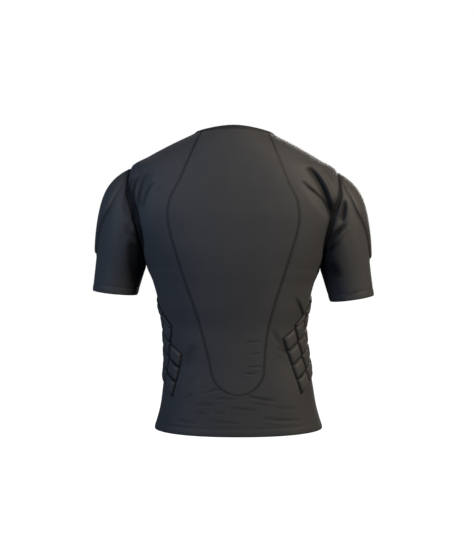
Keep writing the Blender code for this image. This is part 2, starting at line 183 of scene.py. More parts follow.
class Crease(NamedTuple):
    """A soft trough along a path, or a ridge where its depth is negative.

    The path runs through places (x, z) on the body, or (turn, share) on a sleeve. A lip is
    a raised bank beside it, as a share of its depth, on the side that its sign gives.
    """

    name: str
    depth: float
    half_width: float
    lip: float
    path: tuple[tuple[float, float], ...]


SECTIONS = (
    Section("neck", -0.0045, 0.090, 0.068, 0.062, 2.00, 0.0105, 0.066),
    Section("yoke", -0.0290, 0.1395, 0.086, 0.082, 2.10, 0.0105, 0.058),
    Section("shoulder", -0.0560, 0.188, 0.098, 0.097, 2.20, 0.008, 0.048),
    Section("shoulder_point", -0.0835, 0.2295, 0.106, 0.107, 2.25, 0.005, 0.038),
    Section("blade", -0.1240, 0.2350, 0.114, 0.117, 2.35, 0.0, 0.026),
    Section("upper_arm", -0.1900, 0.2180, 0.119, 0.127, 2.40, 0.0, 0.012),
    Section("lower_armhole", -0.2450, 0.2035, 0.118, 0.130, 2.40, 0.0, 0.004),
    Section("armpit", -0.3015, 0.1945, 0.114, 0.127, 2.40, 0.0, 0.0),
    Section("under_arm", -0.3350, 0.1810, 0.110, 0.123, 2.40, 0.0, 0.0),
    Section("ribs", -0.3800, 0.1695, 0.105, 0.117, 2.40, 0.0, 0.0),
    Section("waist", -0.4400, 0.1580, 0.100, 0.111, 2.35, 0.0, 0.0),
    Section("hip_top", -0.5000, 0.1605, 0.101, 0.110, 2.35, 0.0, 0.0),
    Section("hip", -0.5700, 0.1695, 0.108, 0.112, 2.35, 0.0, 0.0),
    Section("seat", -0.6100, 0.1755, 0.112, 0.113, 2.35, 0.0, 0.0),
    Section("hem", -0.6635, 0.1900, 0.118, 0.116, 2.35, -0.0030, 0.0),
)

TONGUE_SEAM = (
    SeamRow(-0.0045, 0.0735),
    SeamRow(-0.058, 0.095),
    SeamRow(-0.106, 0.116),
    SeamRow(-0.154, 0.139),
    SeamRow(-0.186, 0.143),
    SeamRow(-0.214, 0.139),
    SeamRow(-0.257, 0.1275),
    SeamRow(-0.316, 0.1095),
    SeamRow(-0.366, 0.0930),
    SeamRow(-0.425, 0.0755),
    SeamRow(-0.468, 0.0663),
    SeamRow(-0.517, 0.0587),
)

FOLDS = (
    Fold("right_deep", 0.163, -0.074, 0.218, -0.182, 0.0050, 0.0095),
    Fold("right_second", 0.152, -0.106, 0.213, -0.190, 0.0028, 0.0080),
    Fold("left_deep", -0.206, -0.082, -0.212, -0.205, 0.0045, 0.0090),
    Fold("left_second", -0.184, -0.084, -0.201, -0.150, 0.0030, 0.0080),
)

LEAN = (
    LeanRow(-0.70, 0.0080),
    LeanRow(-0.62, 0.0075),
    LeanRow(-0.54, 0.0060),
    LeanRow(-0.43, -0.0015),
    LeanRow(-0.30, -0.0040),
    LeanRow(-0.10, -0.0025),
    LeanRow(0.05, 0.0010),
)

CUFFS = {
    Side.RIGHT: Cuff(0.2670, 0.004, -0.3668, math.radians(9.5)),
    Side.LEFT: Cuff(0.2670, 0.004, -0.3640, math.radians(5.0)),
}

SHOULDER_PAD_ROWS = (
    PadRow(0.022, 35.0, -45.0),
    PadRow(0.088, 47.0, -55.0),
    PadRow(0.246, 53.0, -59.0),
    PadRow(0.406, 46.0, -53.0),
    PadRow(0.560, 33.0, -42.0),
    PadRow(0.686, 20.0, -30.0),
    PadRow(0.766, 10.0, -20.0),
    PadRow(0.805, 3.0, -13.0),
)

RIB_LAYOUTS = {
    Side.RIGHT: RibLayout(math.radians(38.0), -0.4185, ((0, 0), (4, 4))),
    Side.LEFT: RibLayout(math.radians(41.0), -0.4255, ((0, 0), (0, 1), (4, 4))),
}

BACK_CREASES = (
    Crease("right_deep", 0.0054, 0.0050, -0.65,
           ((0.160, -0.074), (0.176, -0.092), (0.191, -0.114), (0.205, -0.148), (0.215, -0.182))),
    Crease("right_second", 0.0026, 0.0028, -0.60,
           ((0.148, -0.106), (0.163, -0.120), (0.179, -0.132), (0.196, -0.148), (0.214, -0.176))),
    Crease("right_armhole", 0.0032, 0.0056, 0.0,
           ((0.221, -0.140), (0.219, -0.176), (0.211, -0.212), (0.200, -0.266))),
    Crease("right_shoulder", 0.0010, 0.0042, -0.40,
           ((0.192, -0.072), (0.207, -0.086), (0.222, -0.106))),
    Crease("left_deep", 0.0040, 0.0040, 0.40,
           ((-0.211, -0.100), (-0.218, -0.122), (-0.221, -0.148),
            (-0.213, -0.180), (-0.205, -0.215), (-0.198, -0.262))),
    Crease("left_armhole", 0.0030, 0.0034, 0.0,
           ((-0.222, -0.104), (-0.228, -0.124), (-0.228, -0.148),
            (-0.219, -0.180), (-0.207, -0.214), (-0.199, -0.250))),
    Crease("left_second", 0.0026, 0.0032, 0.45,
           ((-0.189, -0.092), (-0.200, -0.114), (-0.206, -0.140), (-0.209, -0.172))),
    Crease("left_third", 0.0022, 0.0031, 0.45,
           ((-0.172, -0.112), (-0.186, -0.128), (-0.194, -0.150), (-0.200, -0.172))),
    Crease("left_fourth", 0.0006, 0.0032, 0.30, ((-0.154, -0.121), (-0.171, -0.136))),
    Crease("right_waist", 0.0024, 0.0036, -0.45,
           ((0.137, -0.362), (0.146, -0.381), (0.155, -0.408), (0.158, -0.426))),
    Crease("right_flank", 0.0011, 0.0062, 0.50,
           ((0.083, -0.433), (0.096, -0.458), (0.112, -0.484))),
    Crease("right_flank_low", 0.0008, 0.0044, 0.30,
           ((0.089, -0.470), (0.104, -0.482), (0.118, -0.487))),
    Crease("left_flank", 0.0009, 0.0070, 0.30,
           ((-0.086, -0.470), (-0.104, -0.492), (-0.112, -0.520))),
    Crease("left_flank_low", 0.0006, 0.0060, 0.0, ((-0.098, -0.536), (-0.112, -0.560))),
    Crease("hem_tuck_left", 0.0009, 0.0026, 0.60,
           ((-0.073, -0.574), (-0.055, -0.566), (-0.036, -0.563))),
    Crease("hem_tuck_left_upper", 0.0005, 0.0024, 0.40, ((-0.083, -0.562), (-0.068, -0.556))),
    Crease("hem_tuck_middle", 0.0014, 0.0028, 0.55,
           ((0.022, -0.578), (0.052, -0.585), (0.083, -0.588))),
    Crease("hem_tuck_middle_low", 0.0005, 0.0026, 0.40, ((0.036, -0.592), (0.066, -0.597))),
    Crease("small_of_back_first", 0.0009, 0.0024, 0.50,
           ((0.022, -0.516), (0.036, -0.514), (0.054, -0.514))),
    Crease("small_of_back_second", 0.0009, 0.0024, 0.50, ((0.014, -0.529), (0.040, -0.529))),
    Crease("small_of_back_third", 0.0006, 0.0026, 0.40, ((0.020, -0.461), (0.059, -0.457))),
    Crease("small_of_back_fourth", 0.0006, 0.0024, 0.40, ((0.030, -0.487), (0.058, -0.484))),
    Crease("above_hem_first", 0.0012, 0.0022, 0.55,
           ((-0.100, -0.615), (-0.086, -0.617), (-0.070, -0.619))),
    Crease("above_hem_second", 0.0012, 0.0024, 0.55,
           ((-0.094, -0.598), (-0.074, -0.597), (-0.052, -0.599))),
    Crease("above_hem_third", 0.0010, 0.0022, 0.50, ((-0.054, -0.613), (-0.027, -0.616))),
    Crease("above_hem_fourth", 0.0009, 0.0026, 0.50,
           ((-0.022, -0.604), (0.010, -0.606), (0.044, -0.609))),
    Crease("above_hem_fifth", 0.0012, 0.0028, 0.50,
           ((0.052, -0.626), (0.097, -0.632), (0.140, -0.634))),
    Crease("above_hem_sixth", 0.0009, 0.0026, 0.40,
           ((0.082, -0.605), (0.104, -0.607), (0.128, -0.607))),
    Crease("above_hem_seventh", 0.0009, 0.0024, 0.50,
           ((-0.070, -0.631), (-0.030, -0.635), (0.004, -0.637))),
    Crease("above_hem_eighth", 0.0010, 0.0026, 0.50,
           ((-0.139, -0.633), (-0.116, -0.637), (-0.092, -0.637))),
    Crease("above_hem_ninth", 0.0009, 0.0024, 0.50,
           ((-0.122, -0.585), (-0.106, -0.580), (-0.092, -0.578))),
    Crease("above_hem_tenth", 0.0008, 0.0024, 0.50,
           ((-0.058, -0.585), (-0.030, -0.583), (-0.004, -0.586))),
)

FRONT_CREASES = (
    Crease("right_armpit_first", 0.0026, 0.0058, 0.35,
           ((0.205, -0.150), (0.190, -0.176), (0.168, -0.196), (0.148, -0.205))),
    Crease("right_armpit_second", 0.0019, 0.0048, 0.35,
           ((0.203, -0.192), (0.188, -0.214), (0.166, -0.228))),
    Crease("right_armpit_third", 0.0013, 0.0046, 0.30,
           ((0.199, -0.236), (0.184, -0.252), (0.160, -0.260))),
    Crease("left_armpit_first", 0.0022, 0.0056, -0.35,
           ((-0.204, -0.142), (-0.186, -0.170), (-0.160, -0.186))),
    Crease("left_armpit_second", 0.0024, 0.0052, -0.35,
           ((-0.202, -0.186), (-0.184, -0.212), (-0.158, -0.224), (-0.136, -0.226))),
    Crease("left_armpit_third", 0.0011, 0.0044, -0.30,
           ((-0.198, -0.246), (-0.178, -0.262), (-0.156, -0.266))),
    Crease("right_waist_first", 0.0012, 0.0044, 0.40,
           ((0.146, -0.396), (0.120, -0.412), (0.088, -0.418))),
    Crease("right_waist_second", 0.0014, 0.0040, 0.40,
           ((0.140, -0.424), (0.112, -0.434), (0.084, -0.434), (0.060, -0.430))),
    Crease("left_waist_first", 0.0013, 0.0044, -0.40,
           ((-0.144, -0.388), (-0.116, -0.404), (-0.080, -0.408))),
    Crease("left_waist_second", 0.0011, 0.0042, -0.40,
           ((-0.136, -0.430), (-0.104, -0.442), (-0.070, -0.440))),
    Crease("belly_first", 0.0008, 0.0036, 0.40,
           ((-0.052, -0.470), (-0.010, -0.476), (0.034, -0.472))),
    Crease("belly_second", 0.0007, 0.0034, 0.40,
           ((-0.010, -0.498), (0.030, -0.502), (0.072, -0.496))),
    Crease("hem_first", 0.0008, 0.0028, 0.50,
           ((-0.120, -0.600), (-0.088, -0.606), (-0.050, -0.604))),
    Crease("hem_second", 0.0007, 0.0026, 0.50,
           ((-0.040, -0.612), (-0.004, -0.616), (0.036, -0.612))),
    Crease("hem_third", 0.0009, 0.0030, 0.50, ((0.050, -0.596), (0.084, -0.602), (0.122, -0.598))),
    Crease("hem_fourth", 0.0006, 0.0024, 0.50, ((-0.096, -0.628), (-0.060, -0.632))),
    Crease("hem_fifth", 0.0006, 0.0024, 0.50, ((0.016, -0.630), (0.066, -0.634))),
    Crease("hem_sixth", 0.0006, 0.0026, 0.50, ((-0.030, -0.584), (0.014, -0.588))),
)

SLEEVE_CREASES = {
    Side.RIGHT: (
        Crease("cap", 0.0042, 0.0048, -0.30, ((1.02, 0.060), (1.20, 0.090), (1.38, 0.128))),
        Crease("arm_fold", 0.0036, 0.0042, -0.75,
               ((1.30, 0.205), (1.50, 0.150), (1.75, 0.090), (2.05, 0.040))),
        Crease("arm_fold_low", 0.0015, 0.0050, -0.35,
               ((1.62, 0.235), (1.86, 0.160), (2.20, 0.110))),
        Crease("under_arm", 0.0012, 0.0080, 0.20, ((2.20, 0.260), (2.05, 0.420), (2.02, 0.600))),
        Crease("front_fold", 0.0024, 0.0052, 0.40,
               ((-1.20, 0.110), (-1.55, 0.120), (-2.00, 0.080))),
        Crease("front_fold_low", 0.0018, 0.0054, 0.35,
               ((-1.50, 0.240), (-1.85, 0.220), (-2.30, 0.150))),
        Crease("front_under_arm", 0.0010, 0.0070, 0.0, ((-2.20, 0.330), (-2.00, 0.480))),
        Crease("cuff_ripple", 0.0005, 0.0030, 0.40, ((1.25, 0.900), (1.60, 0.925), (1.95, 0.905))),
    ),
    Side.LEFT: (
        Crease("cap", 0.0014, 0.0050, 0.30, ((0.98, 0.015), (1.20, 0.070), (1.44, 0.096))),
        Crease("arm_fold", 0.0011, 0.0060, -0.30,
               ((1.45, 0.170), (1.69, 0.140), (1.87, 0.066), (2.10, 0.025))),
        Crease("arm_fold_low", 0.0009, 0.0062, -0.20,
               ((1.66, 0.250), (1.90, 0.190), (2.24, 0.140))),
        Crease("under_arm", 0.0016, 0.0090, 0.20,
               ((1.82, 0.200), (2.10, 0.360), (2.34, 0.560), (2.44, 0.720))),
        Crease("front_fold", 0.0022, 0.0050, 0.40,
               ((-1.10, 0.130), (-1.50, 0.140), (-1.95, 0.095))),
        Crease("front_fold_low", 0.0019, 0.0052, 0.35,
               ((-1.60, 0.260), (-1.95, 0.230), (-2.35, 0.170))),
        Crease("front_under_arm", 0.0011, 0.0068, 0.0, ((-2.15, 0.360), (-1.95, 0.520))),
        Crease("cuff_ripple", 0.0005, 0.0030, 0.40,
               ((-1.30, 0.905), (-1.62, 0.925), (-1.90, 0.900))),
    ),
}


def column(table: Sequence[NamedTuple], name: str) -> Points:
    """One named column of a table, as an array."""
    return np.array([getattr(row, name) for row in table])


def monotone(keys: Points, values: Points, at: Points) -> Points:
    """Read a table between its rows along a smooth curve that never overshoots them.

    Args:
        keys: The rows' places, rising.
        values: The rows' values.
        at: Where to read the table.

    Returns:
        The values there: a cubic between each two rows, whose slope at a row is the
        harmonic mean of the slopes beside it, or none where they differ in sign.
    """
    step = np.diff(keys)
    slope = np.diff(values) / step
    same = slope[:-1] * slope[1:] > 0.0
    total = np.where(same, slope[:-1] + slope[1:], 1.0)
    inner = np.where(same, 2.0 * slope[:-1] * slope[1:] / total, 0.0)
    tangent = np.concatenate((slope[:1], inner, slope[-1:]))
    at = np.clip(at, keys[0], keys[-1])
    k = np.clip(np.searchsorted(keys, at, side="right") - 1, 0, len(step) - 1)
    t = (at - keys[k]) / step[k]
    rise = values[k + 1] - values[k]
    curve = values[k] + rise * (3.0 * t**2 - 2.0 * t**3)
    curve = curve + step[k] * tangent[k] * (t**3 - 2.0 * t**2 + t)
    return curve + step[k] * tangent[k + 1] * (t**3 - t**2)


def bell(distance: Points, width: Points | float) -> Points:
    """A bell's height at a distance from its middle: e to minus their ratio's square."""
    return np.exp(-((distance / width) ** 2))


def unit(vectors: Points) -> Points:
    """Vectors brought to length one."""
    return vectors / np.maximum(np.linalg.norm(vectors, axis=-1, keepdims=True), SHORTEST)


def facing(surface: Surface, a: Points, b: Points) -> Points:
    """Unit normal of a surface of two parameters, from central differences.

    Args:
        surface: The surface.
        a: The first parameter.
        b: The second parameter.

    Returns:
        The normals.
    """
    along_a = surface(a + NORMAL_STEP, b) - surface(a - NORMAL_STEP, b)
    along_b = surface(a, b + NORMAL_STEP) - surface(a, b - NORMAL_STEP)
    return unit(np.cross(along_a, along_b))


def mirrored(points: Points, side: Side) -> Points:
    """The same points, or their mirror image where the side is the wearer's left."""
    return points * np.array((side.value, 1.0, 1.0))


def hermite(
    start: Points, start_pull: Points, end: Points, end_pull: Points, s: Points
) -> Points:
    """Cubic from start to end with the given pull at each end, at shares s of the way.

    Args:
        start: Where the cubic starts.
        start_pull: Its pull there.
        end: Where the cubic ends.
        end_pull: Its pull there.
        s: Shares of the way.

    Returns:
        Points of the cubic.
    """
    s = s[..., None]
    curve = start * (2.0 * s**3 - 3.0 * s**2 + 1.0) + end * (3.0 * s**2 - 2.0 * s**3)
    return curve + start_pull * (s**3 - 2.0 * s**2 + s) + end_pull * (s**3 - s**2)


def clustered(count: int) -> Points:
    """Shares from 0 to 1 that crowd towards both ends: half of one less a cosine."""
    return (1.0 - np.cos(np.linspace(0.0, math.pi, count + 1))) / 2.0


def run_lengths(points: Points) -> Points:
    """Length along a line of points, from its first point to each."""
    steps = np.linalg.norm(np.diff(points, axis=0), axis=-1)
    return np.concatenate(([0.0], np.cumsum(steps)))


def row_distances(grid: Points) -> Points:
    """Length along each row of a grid, from its first column."""
    steps = np.linalg.norm(np.diff(grid, axis=1), axis=-1)
    return np.concatenate((np.zeros((len(grid), 1)), np.cumsum(steps, axis=1)), axis=1)


def smooth_path(control: Points, count: int) -> Points:
    """Smooth curve through control points.

    Args:
        control: The control points, one a row.
        count: How many points the curve has.

    Returns:
        Points of a cubic between each two control points, whose tangents are central
        differences over the chord lengths.
    """
    chord = run_lengths(control)
    tangent = np.gradient(control, chord, axis=0)
    at = np.linspace(0.0, chord[-1], count)
    k = np.clip(np.searchsorted(chord, at, side="right") - 1, 0, len(chord) - 2)
    step = (chord[k + 1] - chord[k])[:, None]
    share = (at - chord[k]) / step[:, 0]
    return hermite(control[k], tangent[k] * step, control[k + 1], tangent[k + 1] * step, share)


@dataclass(frozen=True)
class WornForm:
    """The shape that a wearer gives the shirt.

    The body goes by angle and level, and the sleeves by turn and share.
    """

    shoulder_point: float = -0.0835
    armpit: float = -0.3015
    armhole_depth: float = 0.071
    deepest_share: float = 0.95
    front_dip: float = 1.3
    cuff_half_width: float = 0.0505
    cuff_half_depth: float = 0.054
    tongue_foot: float = -0.517
    tongue_foot_drop: float = 0.057
    shoulder_tilt: float = 0.0194
    tilt_full_above: float = -0.38
    tilt_gone_below: float = -0.62
    armhole_pull_x: Pull = Pull(0.11, 0.09, 0.0, 0.0374)
    armhole_pull_y: float = -0.012
    armhole_pull_z: Pull = Pull(-0.055, 0.0, -0.10, -0.0921)
    cuff_pull_x: Pull = Pull(0.026, 0.008, 0.0, 0.0333)
    cuff_pull_z: Pull = Pull(-0.165, -0.105, 0.0, -0.1598)
    sink_least: float = 0.0009
    sink_behind: float = 0.0029
    sink_behind_turn: float = 1.50
    sink_behind_width: float = 0.80
    sink_before: float = 0.0015
    sink_before_turn: float = -1.80
    sink_before_width: float = 0.65
    table_levels: int = 4000
    girth_levels: int = 80
    girth_angles: int = 361
    girth_margin: float = 1.001
    place_steps: int = 4

    @functools.cached_property
    def levels(self) -> Points:
        """Length of the outer edge's path from the neck to each section."""
        edge, height = column(SECTIONS, "edge"), column(SECTIONS, "height")
        steps = np.hypot(np.diff(edge), np.diff(height))
        return np.concatenate(([0.0], np.cumsum(steps)))

    @functools.cached_property
    def level_table(self) -> tuple[Points, Points]:
        """Many levels and the height of each."""
        fine = np.linspace(0.0, self.levels[-1], self.table_levels)
        return fine, self.section("height", fine)

    def section(self, name: str, level: Points) -> Points:
        """A section's size at any level."""
        return monotone(self.levels, column(SECTIONS, name), level)

    def level_at(self, height: Points) -> Points:
        """The level whose outer edge is at a height."""
        fine, heights = self.level_table
        return np.interp(-np.asarray(height), -heights, fine)

    def edge_share(self, level: Points, depth: Points) -> Points:
        """Share of the half width where a panel meets the armhole, or 1 at a seam.

        The armhole is an ellipse seen from the side, and the share solves the section's
        own curve for the depth that the ellipse has at this level.

        Args:
            level: Levels down the body.
            depth: Depth of the section there.

        Returns:
            The shares, from just above 0 to 1.
        """
        middle = (self.shoulder_point + self.armpit) / 2.0
        half = (self.shoulder_point - self.armpit) / 2.0
        across = (self.section("height", level) - middle) / half
        reach = self.armhole_depth * np.sqrt(np.clip(1.0 - across**2, 0.0, 1.0))
        power = self.section("power", level)
        share = np.clip(reach / depth, 0.0, self.deepest_share)
        return (1.0 - share**power) ** (1.0 / power)

    def half_width(self, level: Points, depth: Points) -> Points:
        """Half width of the whole section, as if no armhole were cut into it."""
        return self.section("edge", level) / self.edge_share(level, depth)

    def fold_press(self, x: Points, z: Points) -> Points:
        """How far the large folds beside the armholes press the back in: a bell across each.

        Args:
            x: Places across the back.
            z: Heights on the back.

        Returns:
            The press in metres, towards the front.
        """
        press = np.zeros_like(x)
        for fold in FOLDS:
            run_x = fold.end_x - fold.start_x
            run_z = fold.end_z - fold.start_z
            length = math.hypot(run_x, run_z)
            along = ((x - fold.start_x) * run_x + (z - fold.start_z) * run_z) / length**2
            across = ((x - fold.start_x) * run_z - (z - fold.start_z) * run_x) / length
            taper = np.clip(4.0 * along * (1.0 - along), 0.0, 1.0)
            press = press + fold.depth * np.sqrt(taper) * bell(across, fold.half_width)
        return press

    def body(self, angle: Points, level: Points) -> Points:
        """Point of the body: an angle round it, 0 at centre back, and a level down it.

        A level section is x = half width times the sine of the angle, and y such that
        the two shares, each raised to the section's power, add up to one.

        Args:
            angle: Angles round the body, 0 at centre back.
            level: Levels down the body.

        Returns:
            The points.
        """
        on_back = np.cos(angle) >= 0.0
        depth = np.where(on_back, self.section("back", level), self.section("front", level))
        power = self.section("power", level)
        half = self.half_width(level, depth)
        share = np.abs(np.sin(angle)) ** power
        x = half * np.sin(angle)
        y = -np.sign(np.cos(angle)) * depth * np.clip(1.0 - share, 0.0, 1.0) ** (1.0 / power)
        away = np.abs(np.cos(angle))
        lift = self.section("rise", level) * away**2
        dip = self.section("drop", level) * away**self.front_dip
        z = self.section("height", level) + np.where(on_back, lift, -dip)
        y = y + np.where(on_back, self.fold_press(x, z), 0.0)
        return np.stack((x, y, z), axis=-1)

    def body_facing(self, angle: Points, level: Points) -> Points:
        """Outward normal of the body."""
        return -facing(self.body, angle, level)

    def armhole_level(self, turn: Points) -> Points:
        """Level of the armhole's loop at a turn from its top."""
        middle = (self.shoulder_point + self.armpit) / 2.0
        half = (self.shoulder_point - self.armpit) / 2.0
        return self.level_at(middle + half * np.cos(turn))

    def edge_angle(self, level: Points, face: Face) -> Points:
        """Angle of a panel's outer edge: on the armhole, or 90 degrees at a seam."""
        share = self.edge_share(level, self.section(face.value, level))
        return np.arcsin(np.clip(share, 0.0, 1.0))

    def armhole_angle(self, turn: Points, level: Points) -> Points:
        """Angle round the body of the right armhole's loop, at the back for a positive turn."""
        front = math.pi - self.edge_angle(level, Face.FRONT)
        return np.where(np.sin(turn) >= 0.0, self.edge_angle(level, Face.BACK), front)

    def armhole(self, side: Side, turn: Points) -> Points:
        """Point of an armhole's loop by its turn from the top, as if it were on the right."""
        level = self.armhole_level(turn)
        return mirrored(self.body(side.value * self.armhole_angle(turn, level), level), side)

    def sleeve(self, side: Side, turn: Points, s: Points) -> Points:
        """Point of a sleeve, as if on the right: a turn round it from its top, a share down it.

        Each line runs as a cubic from the armhole's loop to the cuff's ellipse, pulled
        outward over the shoulder at the top and straight down under the arm.

        Args:
            side: The wearer's side.
            turn: Turns round the arm, 0 at its top.
            s: Shares of the way.

        Returns:
            The points.
        """
        turn, s = np.broadcast_arrays(turn, s)
        top, back = np.cos(turn), np.sin(turn)
        start = self.armhole(side, turn) + np.array((SEAM_GAP, 0.0, 0.0))
        cuff = CUFFS[side]
        end = np.stack(
            (
                cuff.x + self.cuff_half_width * top * math.cos(cuff.tilt),
                cuff.y - self.cuff_half_depth * back,
                cuff.z + self.cuff_half_width * top * math.sin(cuff.tilt),
            ),
            axis=-1,
        )
        pull_y = self.armhole_pull_y * back
        start_pull = np.stack(
            (self.armhole_pull_x.at(turn), pull_y, self.armhole_pull_z.at(turn)), axis=-1
        )
        return hermite(start, start_pull, end, self.cuff_pull(turn), s)

    def cuff_pull(self, turn: Points) -> Points:
        """How the lines of a sleeve arrive at its cuff, as if on the right."""
        level_y = np.zeros_like(turn)
        return np.stack((self.cuff_pull_x.at(turn), level_y, self.cuff_pull_z.at(turn)), axis=-1)

    def sleeve_facing(self, side: Side, turn: Points, s: Points) -> Points:
        """Outward normal of a sleeve, as if on the right."""
        return facing(functools.partial(self.sleeve, side), turn, s)

    def armhole_mitre(self, side: Side, turn: Points) -> Points:
        """Direction out of an armhole's seam, halfway between the body's and the sleeve's.

        Args:
            side: The wearer's side.
            turn: Turns round the arm, 0 at its top.

        Returns:
            Directions of length one, as if on the right.
        """
        level = self.armhole_level(turn)
        angle = side.value * self.armhole_angle(turn, level)
        body = mirrored(self.body_facing(angle, level), side)
        return unit(body + self.sleeve_facing(side, turn, np.full_like(turn, NORMAL_STEP)))

    def armhole_sink(self, turn: Points) -> Points:
        """How deep an armhole's seam lies in the cloth: a bell behind the arm, a low one before.

        Args:
            turn: Turns round the arm, 0 at its top.

        Returns:
            Depths in metres.
        """
        around = turn + 2.0 * math.pi
        behind = bell(turn - self.sink_behind_turn, self.sink_behind_width)
        behind = behind + bell(around - self.sink_behind_turn, self.sink_behind_width)
        before = bell(turn - self.sink_before_turn, self.sink_before_width)
        return self.sink_least + self.sink_behind * behind + self.sink_before * before

    def posed(self, points: Points) -> Points:
        """The pose's small lean of the middle and low right shoulder, on an array of points.

        Args:
            points: The points, in the form's own place.

        Returns:
            The points in the worn pose.
        """
        height = points[..., 2]
        span = self.tilt_full_above - self.tilt_gone_below
        fade = np.clip((height - self.tilt_gone_below) / span, 0.0, 1.0)
        fade = fade * fade * (3.0 - 2.0 * fade)
        lean = monotone(column(LEAN, "height"), column(LEAN, "shift"), height)
        z = height - self.shoulder_tilt * points[..., 0] * fade
        return np.stack((points[..., 0] + lean, points[..., 1], z), axis=-1)

    def tongue_seam(self, steps: "PanelSteps") -> tuple[Points, Points]:
        """Angle and level of the centre back panel's seam, from the neck to its foot's middle.

        Args:
            steps: How many steps each stretch has.

        Returns:
            The angles and the levels.
        """
        upper = np.concatenate((steps.shoulder(self), steps.armhole(self)[1:]))
        upper = self.section("height", upper)
        lower = np.linspace(upper[-1], self.tongue_foot, steps.side_count + 1)[1:]
        height = np.concatenate((upper, lower))
        rows = TONGUE_SEAM[::-1]
        half = monotone(column(rows, "height"), column(rows, "half_width"), height)
        turn = np.linspace(0.0, math.pi / 2.0, steps.hem_count + 1)[1:]
        foot_half = TONGUE_SEAM[-1].half_width * np.cos(turn)
        foot_half[-1] = 0.0
        height = np.concatenate((height, self.tongue_foot - self.tongue_foot_drop * np.sin(turn)))
        half = np.concatenate((half, foot_half))
        level = self.level_at(height)
        full = self.half_width(level, self.section("back", level))
        return np.arcsin(np.clip(half / full, 0.0, 1.0)), level

    def place(self, face: Face, path: Points) -> Points:
        """Points of one face seen at (x, z), found in steps that correct the level's height.

        Args:
            face: Back or front.
            path: The places, one a row.

        Returns:
            The points.
        """
        height = path[:, 1]
        for _ in range(self.place_steps):
            level = self.level_at(height)
            half = self.half_width(level, self.section(face.value, level))
            angle = np.arcsin(np.clip(path[:, 0] / half, -1.0, 1.0))
            points = self.body(angle if face is Face.BACK else math.pi - angle, level)
            height = height + path[:, 1] - points[:, 2]
        return points

    @functools.cached_property
    def girth_table(self) -> tuple[Points, Points, Points]:
        """Arc lengths from centre back, on a grid of levels and angles."""
        levels = np.linspace(0.0, self.levels[-1], self.girth_levels)
        angles = np.linspace(0.0, math.pi, self.girth_angles)
        return levels, angles, row_distances(self.body(*np.meshgrid(angles, levels)))

    def pattern(self, angle: Points, level: Points) -> Points:
        """Pattern coordinates in metres: the arc length from centre back, and the level.

        The arc length is read from its table between the four nearest entries, and the
        margin keeps the first of them short of the table's last row and column.

        Args:
            angle: Angles round the body, 0 at centre back.
            level: Levels down the body.

        Returns:
            The arc length and the level of each point.
        """
        levels, angles, girth = self.girth_table
        turned = np.mod(angle + math.pi, 2.0 * math.pi) - math.pi
        row = level / levels[-1] * (len(levels) - 1)
        place = np.abs(turned) / math.pi * (len(angles) - 1)
        row = np.clip(row, 0.0, len(levels) - self.girth_margin)
        place = np.clip(place, 0.0, len(angles) - self.girth_margin)
        r, c = row.astype(int), place.astype(int)
        dr, dc = row - r, place - c
        arc = (girth[r, c] * (1.0 - dc) + girth[r, c + 1] * dc) * (1.0 - dr)
        arc = arc + (girth[r + 1, c] * (1.0 - dc) + girth[r + 1, c + 1] * dc) * dr
        return np.stack((np.sign(turned) * arc, level), axis=-1)


FORM = WornForm()


@dataclass(frozen=True)
class PanelSteps:
    """How many steps each stretch of the pattern has."""

    shoulder_count: int = 34
    armhole_count: int = 84
    side_count: int = 150
    hem_count: int = 60

    def shoulder(self, form: WornForm) -> Points:
        """Levels down the shoulder seam, from the neck to the shoulder point."""
        return np.linspace(0.0, float(form.level_at(form.shoulder_point)), self.shoulder_count + 1)

    @property
    def armhole_turns(self) -> Points:
        """Turns of the armhole's rows, from its top round to the armpit."""
        return np.linspace(0.0, math.pi, self.armhole_count + 1)

    @property
    def armhole_rows(self) -> slice:
        """The rows of an outer edge that lie on the armhole."""
        return slice(self.shoulder_count, self.shoulder_count + self.armhole_count + 1)

    def armhole(self, form: WornForm) -> Points:
        """Levels down the armhole, evenly spaced round its loop."""
        return form.armhole_level(self.armhole_turns)

    def side(self, form: WornForm) -> Points:
        """Levels down the side seam, from the armpit to the hem."""
        return np.linspace(float(form.level_at(form.armpit)), form.levels[-1], self.side_count + 1)

    def outer_edge(self, form: WornForm, face: Face) -> tuple[Points, Points]:
        """Angle and level of a panel's outer edge from the neck down to the corner of the hem."""
        levels = np.concatenate((self.shoulder(form), self.armhole(form)[1:], self.side(form)[1:]))
        return form.edge_angle(levels, face), levels


STEPS = PanelSteps()


